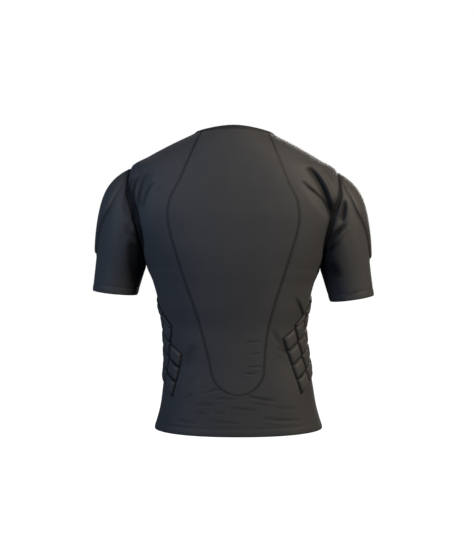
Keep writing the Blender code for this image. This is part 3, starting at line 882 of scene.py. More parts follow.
@dataclass(frozen=True)
class CreaseField:
    """A table of creases laid on a surface. A crease's own parts are sized in its half widths."""

    creases: tuple[Crease, ...]
    place: Callable[[Points], Points]
    control_points: int = 9
    samples: int = 40
    reach: float = 4.5
    lip_place: float = 2.1
    lip_width: float = 1.2
    shade_place: float = 0.10
    shade_width: float = 1.40
    near_surface: float = 0.02
    darkest_depth: float = 0.0028

    def relief(self, points: Points, normals: Points) -> tuple[Points, Points]:
        """How far the creases move a surface's points, and how much painted shade each point gets.

        Across a crease the relief is a bell, along it the square root of a parabola, so
        it fades at both ends. A lip is a second, wider bell beside it, the other way.
        The painted shade is a bell too, a little towards the lip.

        Args:
            points: The surface's points.
            normals: Its outward normals there.

        Returns:
            The move along the normal in metres, and a painted shade from 0 to 1.
        """
        flat, out = points.reshape(-1, 3), normals.reshape(-1, 3)
        move, painted_shade = np.zeros(len(flat)), np.zeros(len(flat))
        for crease in self.creases:
            control = self.place(smooth_path(np.array(crease.path), self.control_points))
            path = smooth_path(control, self.samples)
            width = crease.half_width
            reach = self.reach * width
            near = np.all((flat > path.min(0) - reach) & (flat < path.max(0) + reach), axis=1)
            if not near.any():
                continue
            tangent = unit(np.gradient(path, axis=0))
            apart = flat[near][:, None, :] - path[None, :, :]
            k = np.argmin(np.einsum("nki,nki->nk", apart, apart), axis=1)
            offset = apart[np.arange(len(k)), k]
            ahead = np.einsum("ni,ni->n", offset, tangent[k])
            sideways = np.einsum("ni,ni->n", offset, np.cross(tangent[k], out[near]))
            height = np.einsum("ni,ni->n", offset, out[near])
            steps = self.samples - 1
            share = np.clip((k + ahead / run_lengths(path)[-1] * steps) / steps, 0.0, 1.0)
            taper = np.sqrt(np.clip(4.0 * share * (1.0 - share), 0.0, 1.0))
            strength = taper * bell(height, self.near_surface)
            towards_lip = sideways * math.copysign(1.0, crease.lip)
            to_lip = towards_lip - self.lip_place * width
            to_shade = towards_lip - self.shade_place * width
            lip = abs(crease.lip) * bell(to_lip, self.lip_width * width)
            shade = bell(to_shade, self.shade_width * width)
            move[near] += crease.depth * (strength * lip - strength * bell(sideways, width))
            # Painted shade in the crease's trough, full where the crease is at least the darkest
            # depth deep
            painted_shade[near] += crease.depth / self.darkest_depth * strength * shade
        shape = points.shape[:-1]
        return move.reshape(shape), np.clip(painted_shade, 0.0, 1.0).reshape(shape)


BACK_FIELD = CreaseField(BACK_CREASES, functools.partial(FORM.place, Face.BACK))
FRONT_FIELD = CreaseField(FRONT_CREASES, functools.partial(FORM.place, Face.FRONT))


@dataclass(frozen=True)
class Wall:
    """A closed cloth wall on its way to becoming a mesh."""

    outer: Points
    inner: Points
    pattern: Points
    painted_shade: Points
    around: bool = False
    kept: NDArray[np.bool_] | None = None

    def faces(self) -> NDArray[np.int64]:
        """Four-cornered faces: the outer grid, the inner grid turned round, and the rims between.

        An edge has a rim where a kept cell of the grid lies on one side of it alone.
        """
        rows, columns = self.outer.shape[:2]
        count = rows * columns
        index = np.arange(count).reshape(rows, columns)
        if self.around:
            index = np.concatenate((index, index[:, :1]), axis=1)
        kept = np.ones((rows - 1, index.shape[1] - 1), bool) if self.kept is None else self.kept
        corners = (index[:-1, :-1], index[:-1, 1:], index[1:, 1:], index[1:, :-1])
        face = np.stack(corners, axis=-1)[kept]
        above, below = np.pad(kept, ((1, 0), (0, 0))), np.pad(kept, ((0, 1), (0, 0)))
        left, right = index[:, :-1], index[:, 1:]
        edges = [
            np.stack((left, right), axis=-1)[below & ~above],
            np.stack((right, left), axis=-1)[above & ~below],
        ]
        if not self.around:
            before, after = np.pad(kept, ((0, 0), (1, 0))), np.pad(kept, ((0, 0), (0, 1)))
            upper, lower = index[:-1], index[1:]
            edges.append(np.stack((lower, upper), axis=-1)[after & ~before])
            edges.append(np.stack((upper, lower), axis=-1)[before & ~after])
        edge = np.concatenate(edges)
        rims = np.stack((edge[:, 1], edge[:, 0], edge[:, 0] + count, edge[:, 1] + count), axis=-1)
        return np.concatenate((face, face[:, ::-1] + count, rims))

    def build(self, name: str, material: bpy.types.Material) -> bpy.types.Object:
        """The wall as a named object in the frame's pose, with its UV map and its painted shade
        attribute.

        Args:
            name: The piece's name.
            material: Its finish.

        Returns:
            The object, linked to the scene.
        """
        used, corners = np.unique(self.faces(), return_inverse=True)
        points = np.concatenate((self.outer.reshape(-1, 3), self.inner.reshape(-1, 3)))
        pattern = np.tile(self.pattern.reshape(-1, 2), (2, 1))[used]
        painted_shade = np.tile(self.painted_shade.reshape(-1), 2)[used]
        mesh = bpy.data.meshes.new(name)
        mesh.from_pydata(FORM.posed(points[used]).tolist(), [], corners.reshape(-1, 4).tolist())
        uv = mesh.uv_layers.new(name="pattern")
        corner = np.zeros(len(mesh.loops), np.int32)
        mesh.loops.foreach_get("vertex_index", corner)
        uv.data.foreach_set("uv", pattern[corner].astype(np.float32).ravel())
        # Painted shade: how far the material darkens each point towards near black, for creases,
        # seams and grooves
        shade = mesh.attributes.new("painted_shade", "FLOAT", "POINT")
        shade.data.foreach_set("value", painted_shade.astype(np.float32))
        return finished(name, mesh, material)


def finished(name: str, mesh: bpy.types.Mesh, material: bpy.types.Material) -> bpy.types.Object:
    """Weld a closed mesh, turn its faces outward, shade it smooth and link it as an object.

    Args:
        name: The piece's name.
        mesh: The closed mesh.
        material: Its finish.

    Returns:
        The object, which rides on the root.
    """
    work = bmesh.new()
    work.from_mesh(mesh)
    bmesh.ops.remove_doubles(work, verts=work.verts, dist=WELD)
    bmesh.ops.recalc_face_normals(work, faces=work.faces)
    work.to_mesh(mesh)
    work.free()
    mesh.shade_smooth()
    mesh.set_sharp_from_angle(angle=CRISP)
    mesh.materials.append(material)
    piece = bpy.data.objects.new(name, mesh)
    bpy.context.scene.collection.objects.link(piece)
    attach(piece, "root")
    return piece


class NodeBoard:
    """A material's node tree, with short calls to add nodes that feed each other."""

    def __init__(self, name: str) -> None:
        """A new material with nodes, whose shader is a Principled BSDF."""
        self.material = bpy.data.materials.new(name)
        self.material.use_nodes = True
        self.tree = self.material.node_tree
        self.shader = self.tree.nodes["Principled BSDF"]
        self.place = self.add("ShaderNodeTexCoord").outputs["Object"]

    def feed(self, target: bpy.types.NodeSocket, value: NodeValue) -> None:
        """Link a socket to another one, or set its own value."""
        if isinstance(value, bpy.types.NodeSocket):
            self.tree.links.new(value, target)
        else:
            target.default_value = value

    def add(self, kind: str, **values: NodeValue) -> bpy.types.Node:
        """A node of a kind: values named as its properties are set, others feed its sockets."""
        node = self.tree.nodes.new(kind)
        for name, value in values.items():
            if hasattr(node, name):
                setattr(node, name, value)
            else:
                self.feed(node.inputs[name.replace("_", " ")], value)
        return node

    def dress(self, **values: NodeValue) -> None:
        """Feed the shader's own sockets."""
        for name, value in values.items():
            self.feed(self.shader.inputs[name.replace("_", " ")], value)

    def noise(
        self, scale: float, detail: float = 2.0, roughness: float = 0.5
    ) -> bpy.types.NodeSocket:
        """A noise on the object's own coordinates."""
        node = self.add("ShaderNodeTexNoise", Scale=scale, Detail=detail, Roughness=roughness)
        self.feed(node.inputs["Vector"], self.place)
        return node.outputs["Fac"]

    def spread(self, value: bpy.types.NodeSocket, **ends: float) -> bpy.types.NodeSocket:
        """A value moved from one range to another, both from 0 to 1 where no end is given."""
        return self.add("ShaderNodeMapRange", Value=value, **ends).outputs["Result"]

    def mix(
        self, factor: NodeValue, first: NodeValue, second: NodeValue, blend: str = "MIX"
    ) -> bpy.types.NodeSocket:
        """Two colours mixed by a factor, each a value or a socket."""
        node = self.add("ShaderNodeMix", data_type="RGBA", blend_type=blend)
        for name, value in (("Factor", factor), ("A", first), ("B", second)):
            self.feed(node.inputs[name], value)
        return node.outputs["Result"]

    def work_out(self, operation: str, *values: NodeValue) -> bpy.types.NodeSocket:
        """The result of a sum on values or sockets."""
        node = self.add("ShaderNodeMath", operation=operation)
        for target, value in zip(node.inputs, values):
            self.feed(target, value)
        return node.outputs[0]

    def bump(self, height: bpy.types.NodeSocket, strength: float, distance: float) -> None:
        """Raise the shader's surface by a height."""
        node = self.add("ShaderNodeBump", Strength=strength, Distance=distance, Height=height)
        self.dress(Normal=node.outputs["Normal"])


@dataclass(frozen=True)
class KnitFinish:
    """A knit cloth: two close tones, a fine rib along the grain, and a soft sheen."""

    name: str
    colour: Colour
    tone: Colour
    # Near-black colour of the painted shade that the per-point attribute mixes in
    painted_shade: Colour
    roughness: float = 0.60
    sheen: float = 0.05
    wale: float = 0.0011
    course: float = 0.0016
    relief: float = 0.00010
    relief_strength: float = 0.45
    fuzz_scale: float = 1400.0
    fuzz_share: float = 0.35
    tone_scale: float = 9.0
    tone_detail: float = 4.0
    tone_roughness: float = 0.6
    tone_range: tuple[float, float] = (0.35, 0.65)
    knit_share: float = 0.35
    knit_shade: tuple[float, float] = (0.72, 1.25)
    gloss_range: tuple[float, float] = (-0.05, 0.07)
    sheen_roughness: float = 0.45
    sheen_tint: Colour = (0.82, 0.86, 0.92)
    specular: float = 0.15

    def material(self) -> bpy.types.Material:
        """The finish as a material on the piece's own pattern coordinates.

        The knit's height is the product of a wave along each thread direction, and the
        colour is the two tones mixed by a broad noise, darkened towards a near-black colour
        by painted shade in creases, seams, channels and grooves.
        """
        board = NodeBoard(self.name)
        knit = self.knit(board)
        fuzz = board.noise(self.fuzz_scale)
        height = board.work_out("MULTIPLY_ADD", fuzz, self.fuzz_share, knit)
        board.bump(height, self.relief_strength, self.relief)
        broad = board.noise(self.tone_scale, self.tone_detail, self.tone_roughness)
        least, most = self.tone_range
        tones = board.spread(broad, From_Min=least, From_Max=most)
        cloth = board.mix(tones, (*self.colour, 1.0), (*self.tone, 1.0))
        # The knit's colour rises and falls with its height: painted highlight on its ribs and
        # painted shade between them
        dark, light = self.knit_shade
        shade = board.spread(knit, To_Min=dark, To_Max=light)
        cloth = board.mix(self.knit_share, cloth, shade, blend="MULTIPLY")
        # Painted shade from the mesh's attribute, which mixes the cloth towards its near-black
        # colour
        painted_shade = board.add("ShaderNodeAttribute", attribute_name="painted_shade").outputs["Fac"]
        smooth, rough = self.gloss_range
        board.dress(
            Base_Color=board.mix(painted_shade, cloth, (*self.painted_shade, 1.0)),
            Roughness=board.spread(
                broad, To_Min=self.roughness + smooth, To_Max=self.roughness + rough
            ),
            Sheen_Weight=self.sheen,
            Sheen_Roughness=self.sheen_roughness,
            Sheen_Tint=(*self.sheen_tint, 1.0),
            Specular_IOR_Level=self.specular,
        )
        return board.material

    def knit(self, board: NodeBoard) -> bpy.types.NodeSocket:
        """Height of the knit: a wave across the wales times one across the courses."""
        pattern = board.add("ShaderNodeUVMap", uv_map="pattern").outputs["UV"]
        waves = [
            board.add(
                "ShaderNodeTexWave", bands_direction=axis, Scale=WAVE_SCALE / pitch, Vector=pattern
            ).outputs["Fac"]
            for axis, pitch in (("X", self.wale), ("Y", self.course))
        ]
        return board.work_out("MULTIPLY", *waves)


@dataclass(frozen=True)
class ThreadFinish:
    """Sewing thread: a dark spun colour with fine fibres."""

    name: str
    colour: Colour
    specular: float = 0.30
    roughness: float = 0.6
    sheen: float = 0.03
    fibre_scale: float = 900.0
    fibre_relief: float = 0.00008
    fibre_strength: float = 0.4
    dark: float = 0.7
    light: float = 1.35

    def material(self) -> bpy.types.Material:
        """The finish as a material, its fibres a fine noise on object coordinates."""
        board = NodeBoard(self.name)
        fibres = board.noise(self.fibre_scale)
        dark, light = ([share * c for c in self.colour] for share in (self.dark, self.light))
        board.bump(fibres, self.fibre_strength, self.fibre_relief)
        board.dress(
            Base_Color=board.mix(fibres, (*dark, 1.0), (*light, 1.0)),
            Roughness=self.roughness,
            Sheen_Weight=self.sheen,
            Specular_IOR_Level=self.specular,
        )
        return board.material


class Finish(Enum):
    """Every finish of the shirt."""

    STRETCH = KnitFinish(
        "stretch_cloth",
        colour=(0.0318, 0.0330, 0.0370),
        tone=(0.0368, 0.0375, 0.0402),
        painted_shade=(0.0020, 0.0024, 0.0036),
    )
    PAD = KnitFinish(
        "pad_cloth",
        colour=(0.0345, 0.0350, 0.0375),
        tone=(0.0400, 0.0400, 0.0415),
        painted_shade=(0.0015, 0.0017, 0.0024),
    )
    BAND = KnitFinish(
        "band_cloth",
        colour=(0.0140, 0.0145, 0.0165),
        tone=(0.0165, 0.0168, 0.0180),
        painted_shade=(0.003, 0.003, 0.004),
        roughness=0.66,
        sheen=0.10,
        wale=0.0018,
        course=0.0009,
    )
    THREAD = ThreadFinish("thread", (0.0110, 0.0114, 0.0128))
    # The same thread coloured darker and less shiny on the armholes: painted shade of the armhole's
    # sunk seam
    ARMHOLE_THREAD = ThreadFinish("armhole_thread_painted_shade", (0.0045, 0.0048, 0.0060), specular=0.12)


Materials = dict[Finish, bpy.types.Material]


@dataclass(frozen=True)
class Cut:
    """The flat pattern of a piece of cloth: its width, length and area."""

    width: float
    length: float
    area: float


@dataclass
class ClothPanel:
    """What every sewn panel shares: its name, cut and the way it becomes a piece."""

    name: str
    cut: Cut
    held: str = "stretched"
    slot: str = "stretch_cloth"
    finish: Finish = Finish.STRETCH
    edge_roll: float = 0.0006
    roll_width: float = 0.0022
    # How strong and wide the painted shade along a seam's groove is, and how the armhole's sunk
    # seam widens and darkens it
    shade: float = 0.90
    shade_width: float = 0.0027
    sink_width: float = 0.0016
    sink_widening: float = 1.6
    darkest_sink: float = 0.0026

    def dress(self, wall: Wall, materials: Materials) -> bpy.types.Object:
        """Args:
            wall: The piece's wall.
            materials: The shirt's materials, by finish.

        Returns:
            The piece.
        """
        piece = wall.build(self.name + "_cloth", materials[self.finish])
        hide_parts(self.name)
        self.cut.length
        return piece

    def rolled(self, distance: Points) -> Points:
        """How far a seam draws the cloth in at a distance from it: a narrow bell."""
        return self.edge_roll * bell(distance, self.roll_width)

    def seam_shade(self, distance: Points) -> Points:
        """How much painted shade a seam's groove gets at a distance from it."""
        return self.shade * bell(distance, self.shade_width)

    def sunk(self, distance: Points, turn: Points) -> tuple[Points, Points]:
        """How far the armhole's seam draws the cloth in, and how much painted shade its hollow
        gets.

        Args:
            distance: Distances from the seam.
            turn: Turns round the arm, 0 at its top.

        Returns:
            The move in metres, and a painted shade from 0 to 1.
        """
        sink = FORM.armhole_sink(turn)
        near = bell(distance, self.sink_width + self.sink_widening * sink)
        return sink * near, np.clip(sink / self.darkest_sink, 0.0, 1.0) * near

    def open_seams(self, moved: Points, outer: Points, rows: slice = slice(None)) -> None:
        """Draw the two ends of a panel's rows in by half the gap between sewn pieces.

        Args:
            moved: The wall's outer points, which change.
            outer: The worn form's points.
            rows: The rows that change.
        """
        half_gap = SEAM_GAP / 2.0
        moved[rows, 0] += half_gap * unit(outer[rows, 1] - outer[rows, 0])
        moved[rows, -1] += half_gap * unit(outer[rows, -2] - outer[rows, -1])

    def set_in(
        self, moved: Points, inner: Points, outer: Points, end: int, side: Side, turn: Points
    ) -> None:
        """Sink the armhole's stretch of a panel's edge along the mitre shared with the sleeve.

        Args:
            moved: The wall's outer points, which change.
            inner: The wall's inner points, which change.
            outer: The worn form's points.
            end: The column of the edge.
            side: The armhole's side.
            turn: The turn of each of its rows.
        """
        rows = STEPS.armhole_rows
        out = mirrored(FORM.armhole_mitre(side, turn), side)
        moved[rows, end] = outer[rows, end] - FORM.armhole_sink(turn)[:, None] * out
        inner[rows, end] = moved[rows, end] - WALL * out


# A turned hem: its full body, the groove along its stitches, and its soft edge
HEM_BELLS = (
    HemBell(0.0004, 0.008, 0.0065),
    HemBell(-0.0006, 0.017, 0.0020),
    HemBell(-0.0007, 0.0, 0.0014),
)


def hem_line(distance: Points) -> Points:
    """Relief of a turned hem by the distance from its edge: the sum of its bells."""
    body, groove, edge = (b.height * bell(distance - b.place, b.width) for b in HEM_BELLS)
    return body + groove + edge


@dataclass
class CentreBack(ClothPanel):
    """The tongue-shaped panel from the neck down to its rounded foot."""

    columns: int = 96

    def build(self, materials: Materials) -> bpy.types.Object:
        """Rows run from seam to seam at one level, and their columns crowd towards the seams.

        Args:
            materials: The shirt's materials, by finish.

        Returns:
            The piece.
        """
        angle, level = FORM.tongue_seam(STEPS)
        across = 2.0 * clustered(self.columns) - 1.0
        angles = np.arcsin(np.sin(angle)[:, None] * across[None, :])
        levels = np.broadcast_to(level[:, None], angles.shape)
        outer = FORM.body(angles, levels)
        normals = FORM.body_facing(angles, levels)
        relief, painted_shade = BACK_FIELD.relief(outer, normals)
        from_left = row_distances(outer)
        to_seam = np.minimum(from_left, from_left[:, -1:] - from_left)
        painted_shade = np.clip(painted_shade + self.seam_shade(to_seam), 0.0, 1.0)
        moved = outer + (relief - self.rolled(to_seam))[..., None] * normals
        self.open_seams(moved, outer, slice(-1))
        inner = moved - WALL * normals
        foot_gap = np.array((0.0, 0.0, SEAM_GAP / 2.0))
        moved[-1] = moved[-1].mean(axis=0) + foot_gap
        inner[-1] = inner[-1].mean(axis=0) + foot_gap
        return self.dress(Wall(moved, inner, FORM.pattern(angles, levels), painted_shade), materials)


@dataclass
class BackPanel(ClothPanel):
    """The panel that runs down both sides of the tongue and right across under it."""

    columns: int = 44

    def build(self, materials: Materials) -> bpy.types.Object:
        """Rows run from the tongue's seam to the panel's edge, down one half and up the other.

        Args:
            materials: The shirt's materials, by finish.

        Returns:
            The piece.
        """
        seam_angle, seam_level = FORM.tongue_seam(STEPS)
        edge, edge_level = STEPS.outer_edge(FORM, Face.BACK)
        hem_angle = np.linspace(math.pi / 2.0, 0.0, STEPS.hem_count + 1)[1:]
        edge = np.concatenate((edge, hem_angle))
        edge_level = np.concatenate((edge_level, np.full(STEPS.hem_count, FORM.levels[-1])))
        share = clustered(self.columns)[None, :]
        angles = seam_angle[:, None] * (1.0 - share) + edge[:, None] * share
        levels = seam_level[:, None] * (1.0 - share) + edge_level[:, None] * share
        right = self.half(Side.RIGHT, angles, levels)
        left = self.half(Side.LEFT, angles, levels)
        joined = [np.concatenate((r[:-1], l[::-1])) for r, l in zip(right, left)]
        return self.dress(Wall(*joined), materials)

    def half(
        self, side: Side, angles: Points, levels: Points
    ) -> tuple[Points, Points, Points, Points]:
        """Outer points, inner points, pattern coordinates and painted shade of one half.

        Args:
            side: The wearer's side.
            angles: Angles round the body, 0 at centre back.
            levels: Levels down the body.

        Returns:
            The four arrays, by row and column.
        """
        angles = side.value * angles
        outer = FORM.body(angles, levels)
        normals = FORM.body_facing(angles, levels)
        relief, painted_shade = BACK_FIELD.relief(outer, normals)
        along = row_distances(outer)
        from_edge = along[:, -1:] - along
        sewn = np.ones((len(outer), 1))
        sewn[-STEPS.hem_count :] = 0.0
        turn, rows = STEPS.armhole_turns, STEPS.armhole_rows
        at_edge = self.rolled(from_edge) * sewn
        at_edge[rows], shade = self.sunk(from_edge[rows], turn[:, None])
        roll = self.rolled(along) + at_edge
        painted_shade = painted_shade + self.seam_shade(along) + self.seam_shade(from_edge) * sewn
        painted_shade[rows] += shade
        painted_shade = np.clip(painted_shade, 0.0, 1.0)
        hem = hem_line(FORM.levels[-1] - levels)
        moved = outer + (relief + hem - roll)[..., None] * normals
        self.open_seams(moved, outer)
        inner = moved - WALL * normals
        self.set_in(moved, inner, outer, -1, side, turn)
        return moved, inner, FORM.pattern(angles, levels), painted_shade


@dataclass
class FrontPanel(ClothPanel):
    """The plain front, from one outer edge to the other, with its round neckline."""

    columns: int = 120

    def build(self, materials: Materials) -> bpy.types.Object:
        """Rows run across the front at one level, and their columns crowd towards the seams.

        Args:
            materials: The shirt's materials, by finish.

        Returns:
            The piece.
        """
        edge, level = STEPS.outer_edge(FORM, Face.FRONT)
        across = 2.0 * clustered(self.columns) - 1.0
        angles = math.pi - edge[:, None] * across[None, :]
        levels = np.broadcast_to(level[:, None], angles.shape)
        outer = FORM.body(angles, levels)
        normals = FORM.body_facing(angles, levels)
        relief, painted_shade = FRONT_FIELD.relief(outer, normals)
        along = row_distances(outer)
        to_seam = np.minimum(along, along[:, -1:] - along)
        turn, rows = -STEPS.armhole_turns, STEPS.armhole_rows
        roll = self.rolled(to_seam)
        roll[rows], shade = self.sunk(to_seam[rows], turn[:, None])
        painted_shade = painted_shade + self.seam_shade(to_seam)
        painted_shade[rows] += shade
        painted_shade = np.clip(painted_shade, 0.0, 1.0)
        hem = hem_line(FORM.levels[-1] - levels)
        moved = outer + (relief + hem - roll)[..., None] * normals
        self.open_seams(moved, outer)
        inner = moved - WALL * normals
        for end, side in ((-1, Side.RIGHT), (0, Side.LEFT)):
            self.set_in(moved, inner, outer, end, side, turn)
        return self.dress(Wall(moved, inner, FORM.pattern(angles, levels), painted_shade), materials)


@dataclass
class Sleeve(ClothPanel):
    """One sleeve, from the armhole's loop to the cuff."""

    side: Side = Side.RIGHT
    steps: int = 96
    turns: int = 168
    smooth_edge: float = 0.006
    under_arm_start: float = 1.30
    under_arm_run: float = 0.80
    under_arm_end: float = 0.98
    under_arm_fade: float = 0.70
    under_arm_power: float = 1.2
    under_arm_shade: float = 0.85

    def build(self, materials: Materials) -> bpy.types.Object:
        """Rows are loops round the arm, and they crowd towards the armhole and the cuff.

        Args:
            materials: The shirt's materials, by finish.

        Returns:
            The piece.
        """
        turn = np.linspace(-math.pi, math.pi, self.turns + 1)[:-1]
        turns, shares = np.meshgrid(turn, clustered(self.steps))
        outer = FORM.sleeve(self.side, turns, shares)
        normals = FORM.sleeve_facing(self.side, turns, shares)
        creases = CreaseField(SLEEVE_CREASES[self.side], self.place)
        relief, painted_shade = creases.relief(outer, normals)
        down = row_distances(outer.transpose(1, 0, 2)).T
        hem = hem_line(down[-1:] - down)
        roll, shade = self.sunk(down, turn[None, :])
        # Painted shade from the creases, the armhole's seam and under the arm
        painted_shade = painted_shade + shade + self.seam_shade(down) + self.under_arm(turns, shares)
        painted_shade = np.clip(painted_shade, 0.0, 1.0)
        creased = relief * np.clip(down / self.smooth_edge, 0.0, 1.0)
        moved = outer + (creased + hem - roll)[..., None] * normals
        inner = moved - WALL * normals
        out = FORM.armhole_mitre(self.side, turn)
        moved[0] = outer[0] - FORM.armhole_sink(turn)[:, None] * out
        inner[0] = moved[0] - WALL * out
        moved, inner = mirrored(moved, self.side), mirrored(inner, self.side)
        pattern = np.stack((turns * SLEEVE_RADIUS, down), axis=-1)
        return self.dress(Wall(moved, inner, pattern, painted_shade, around=True), materials)

    def under_arm(self, turns: Points, shares: Points) -> Points:
        """Painted shade where the arm lies against the body: full under the arm, gone towards the
        cuff.

        Args:
            turns: Turns round the arm, 0 at its top.
            shares: Shares down the sleeve.

        Returns:
            The painted shade, from 0 to 1.
        """
        round_arm = np.clip((np.abs(turns) - self.under_arm_start) / self.under_arm_run, 0.0, 1.0)
        fade = np.clip((self.under_arm_end - shares) / self.under_arm_fade, 0.0, 1.0)
        return self.under_arm_shade * (round_arm * fade) ** self.under_arm_power

    def place(self, path: Points) -> Points:
        """Points of the sleeve at (turn, share), as if on the right."""
        return FORM.sleeve(self.side, path[:, 0], path[:, 1])


@dataclass
class Neckband(ClothPanel):
    """The narrow folded band round the neck."""

    height: float = 0.010
    lean: float = 0.22
    slope_step: float = 0.004
    swell: float = 0.0007
    swell_power: float = 0.7
    roll_over: float = 0.0005
    roll_power: int = 6
    steps: int = 14
    turns: int = 280

    def point(self, angle: Points, rise: Points) -> Points:
        """Point of the band: the neck's edge carried up its own slope and towards the vertical."""
        edge = FORM.body(angle, np.zeros_like(angle))
        below = FORM.body(angle, np.full_like(angle, self.slope_step))
        upright = self.lean * np.array((0.0, 0.0, 1.0))
        return edge + unit((1.0 - self.lean) * unit(edge - below) + upright) * rise[..., None]

    def build(self, materials: Materials) -> bpy.types.Object:
        """Rows are loops round the neck.

        The band swells by a power of a half sine wave up it, and rolls over at its top by a
        high power of the way up.

        Args:
            materials: The shirt's materials, by finish.

        Returns:
            The piece.
        """
        angle = np.linspace(0.0, 2.0 * math.pi, self.turns + 1)[:-1]
        share = np.linspace(0.0, 1.0, self.steps + 1)
        angles, shares = np.meshgrid(angle, share)
        rises = SEAM_GAP + (self.height - SEAM_GAP) * shares
        outer = self.point(angles, rises)
        normals = facing(self.point, angles, rises)
        normals[0] = FORM.body_facing(angle, np.zeros_like(angle))
        swell = self.swell * np.sin(math.pi * shares) ** self.swell_power
        swell = swell - self.roll_over * shares**self.roll_power
        moved = outer + swell[..., None] * normals
        inner = outer - WALL * normals
        pattern = np.stack((angles * NECK_RADIUS, rises), axis=-1)
        wall = Wall(moved, inner, pattern, np.zeros_like(angles), around=True)
        return self.dress(wall, materials)


@dataclass
class FoamPad:
    """What every foam pad shares: its name, how full it is, and the way it becomes a piece."""

    name: str
    side: Side
    fill: float = 0.8

    def dress(self, wall: Wall, materials: Materials) -> bpy.types.Object:
        """Args:
            wall: The piece's wall.
            materials: The shirt's materials, by finish.

        Returns:
            The piece.
        """
        piece = wall.build(self.name + "_foam", materials[Finish.PAD])
        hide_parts(self.name)
        return piece


@dataclass
class ShoulderPad(FoamPad):
    """The foam pad over one shoulder and upper arm: a thin sewn rim round a full, rounded field."""

    lift: float = 0.0002
    rim: float = 0.0005
    crown: float = 0.0068
    rim_width: float = 0.0045
    slope_width: float = 0.017
    slope_power: float = 2.2
    swell_share: float = 0.42
    swell_least: float = 0.10
    swell_gain: float = 0.90
    swell_power: float = 1.5
    groove: float = 0.0003
    groove_width: float = 0.0011
    groove_shade: float = 0.45
    columns: int = 84
    steps: int = 96

    def build(self, materials: Materials) -> bpy.types.Object:
        """Rows run across the pad from back to front, at one share down the sleeve.

        The foam's height is the rim, plus the crown times the root of one less a power of
        the way still to go up its slope, times a swell that grows down the sleeve.

        Args:
            materials: The shirt's materials, by finish.

        Returns:
            The piece.
        """
        across, down = np.meshgrid(2.0 * clustered(self.columns) - 1.0, clustered(self.steps))
        rows = column(SHOULDER_PAD_ROWS, "share")
        shares = rows[0] + (rows[-1] - rows[0]) * down
        back = np.radians(monotone(rows, column(SHOULDER_PAD_ROWS, "back"), shares))
        front = np.radians(monotone(rows, column(SHOULDER_PAD_ROWS, "front"), shares))
        turns = (back + front) / 2.0 + (back - front) / 2.0 * across
        outward = FORM.sleeve_facing(self.side, turns, shares)
        inner = FORM.sleeve(self.side, turns, shares) + self.lift * outward
        to_edge = self.edge_distance(inner)
        rise = np.clip((to_edge - self.rim_width) / self.slope_width, 0.0, 1.0)
        swell = np.clip(down / self.swell_share, 0.0, 1.0)
        swell = self.swell_least + self.swell_gain * (swell * (2.0 - swell)) ** self.swell_power
        full = np.sqrt(1.0 - (1.0 - rise) ** self.slope_power) * swell
        groove = bell(to_edge - self.rim_width, self.groove_width)
        foam = self.rim + self.crown * full - self.groove * groove
        outer = inner + foam[..., None] * outward
        outer, inner = mirrored(outer, self.side), mirrored(inner, self.side)
        pattern = np.stack((turns * SLEEVE_RADIUS, shares * SLEEVE_LENGTH), axis=-1)
        # The groove along the rim also gets painted shade
        return self.dress(Wall(outer, inner, pattern, self.groove_shade * groove), materials)

    def edge_distance(self, grid: Points) -> Points:
        """Distance of each point from the pad's outline: the least along its row or column.

        Args:
            grid: The pad's points.

        Returns:
            The distances.
        """
        across, down = row_distances(grid), row_distances(grid.transpose(1, 0, 2)).T
        beside = np.minimum(across, across[:, -1:] - across)
        ends = np.minimum(down, down[-1:] - down)
        return np.minimum(beside, ends)


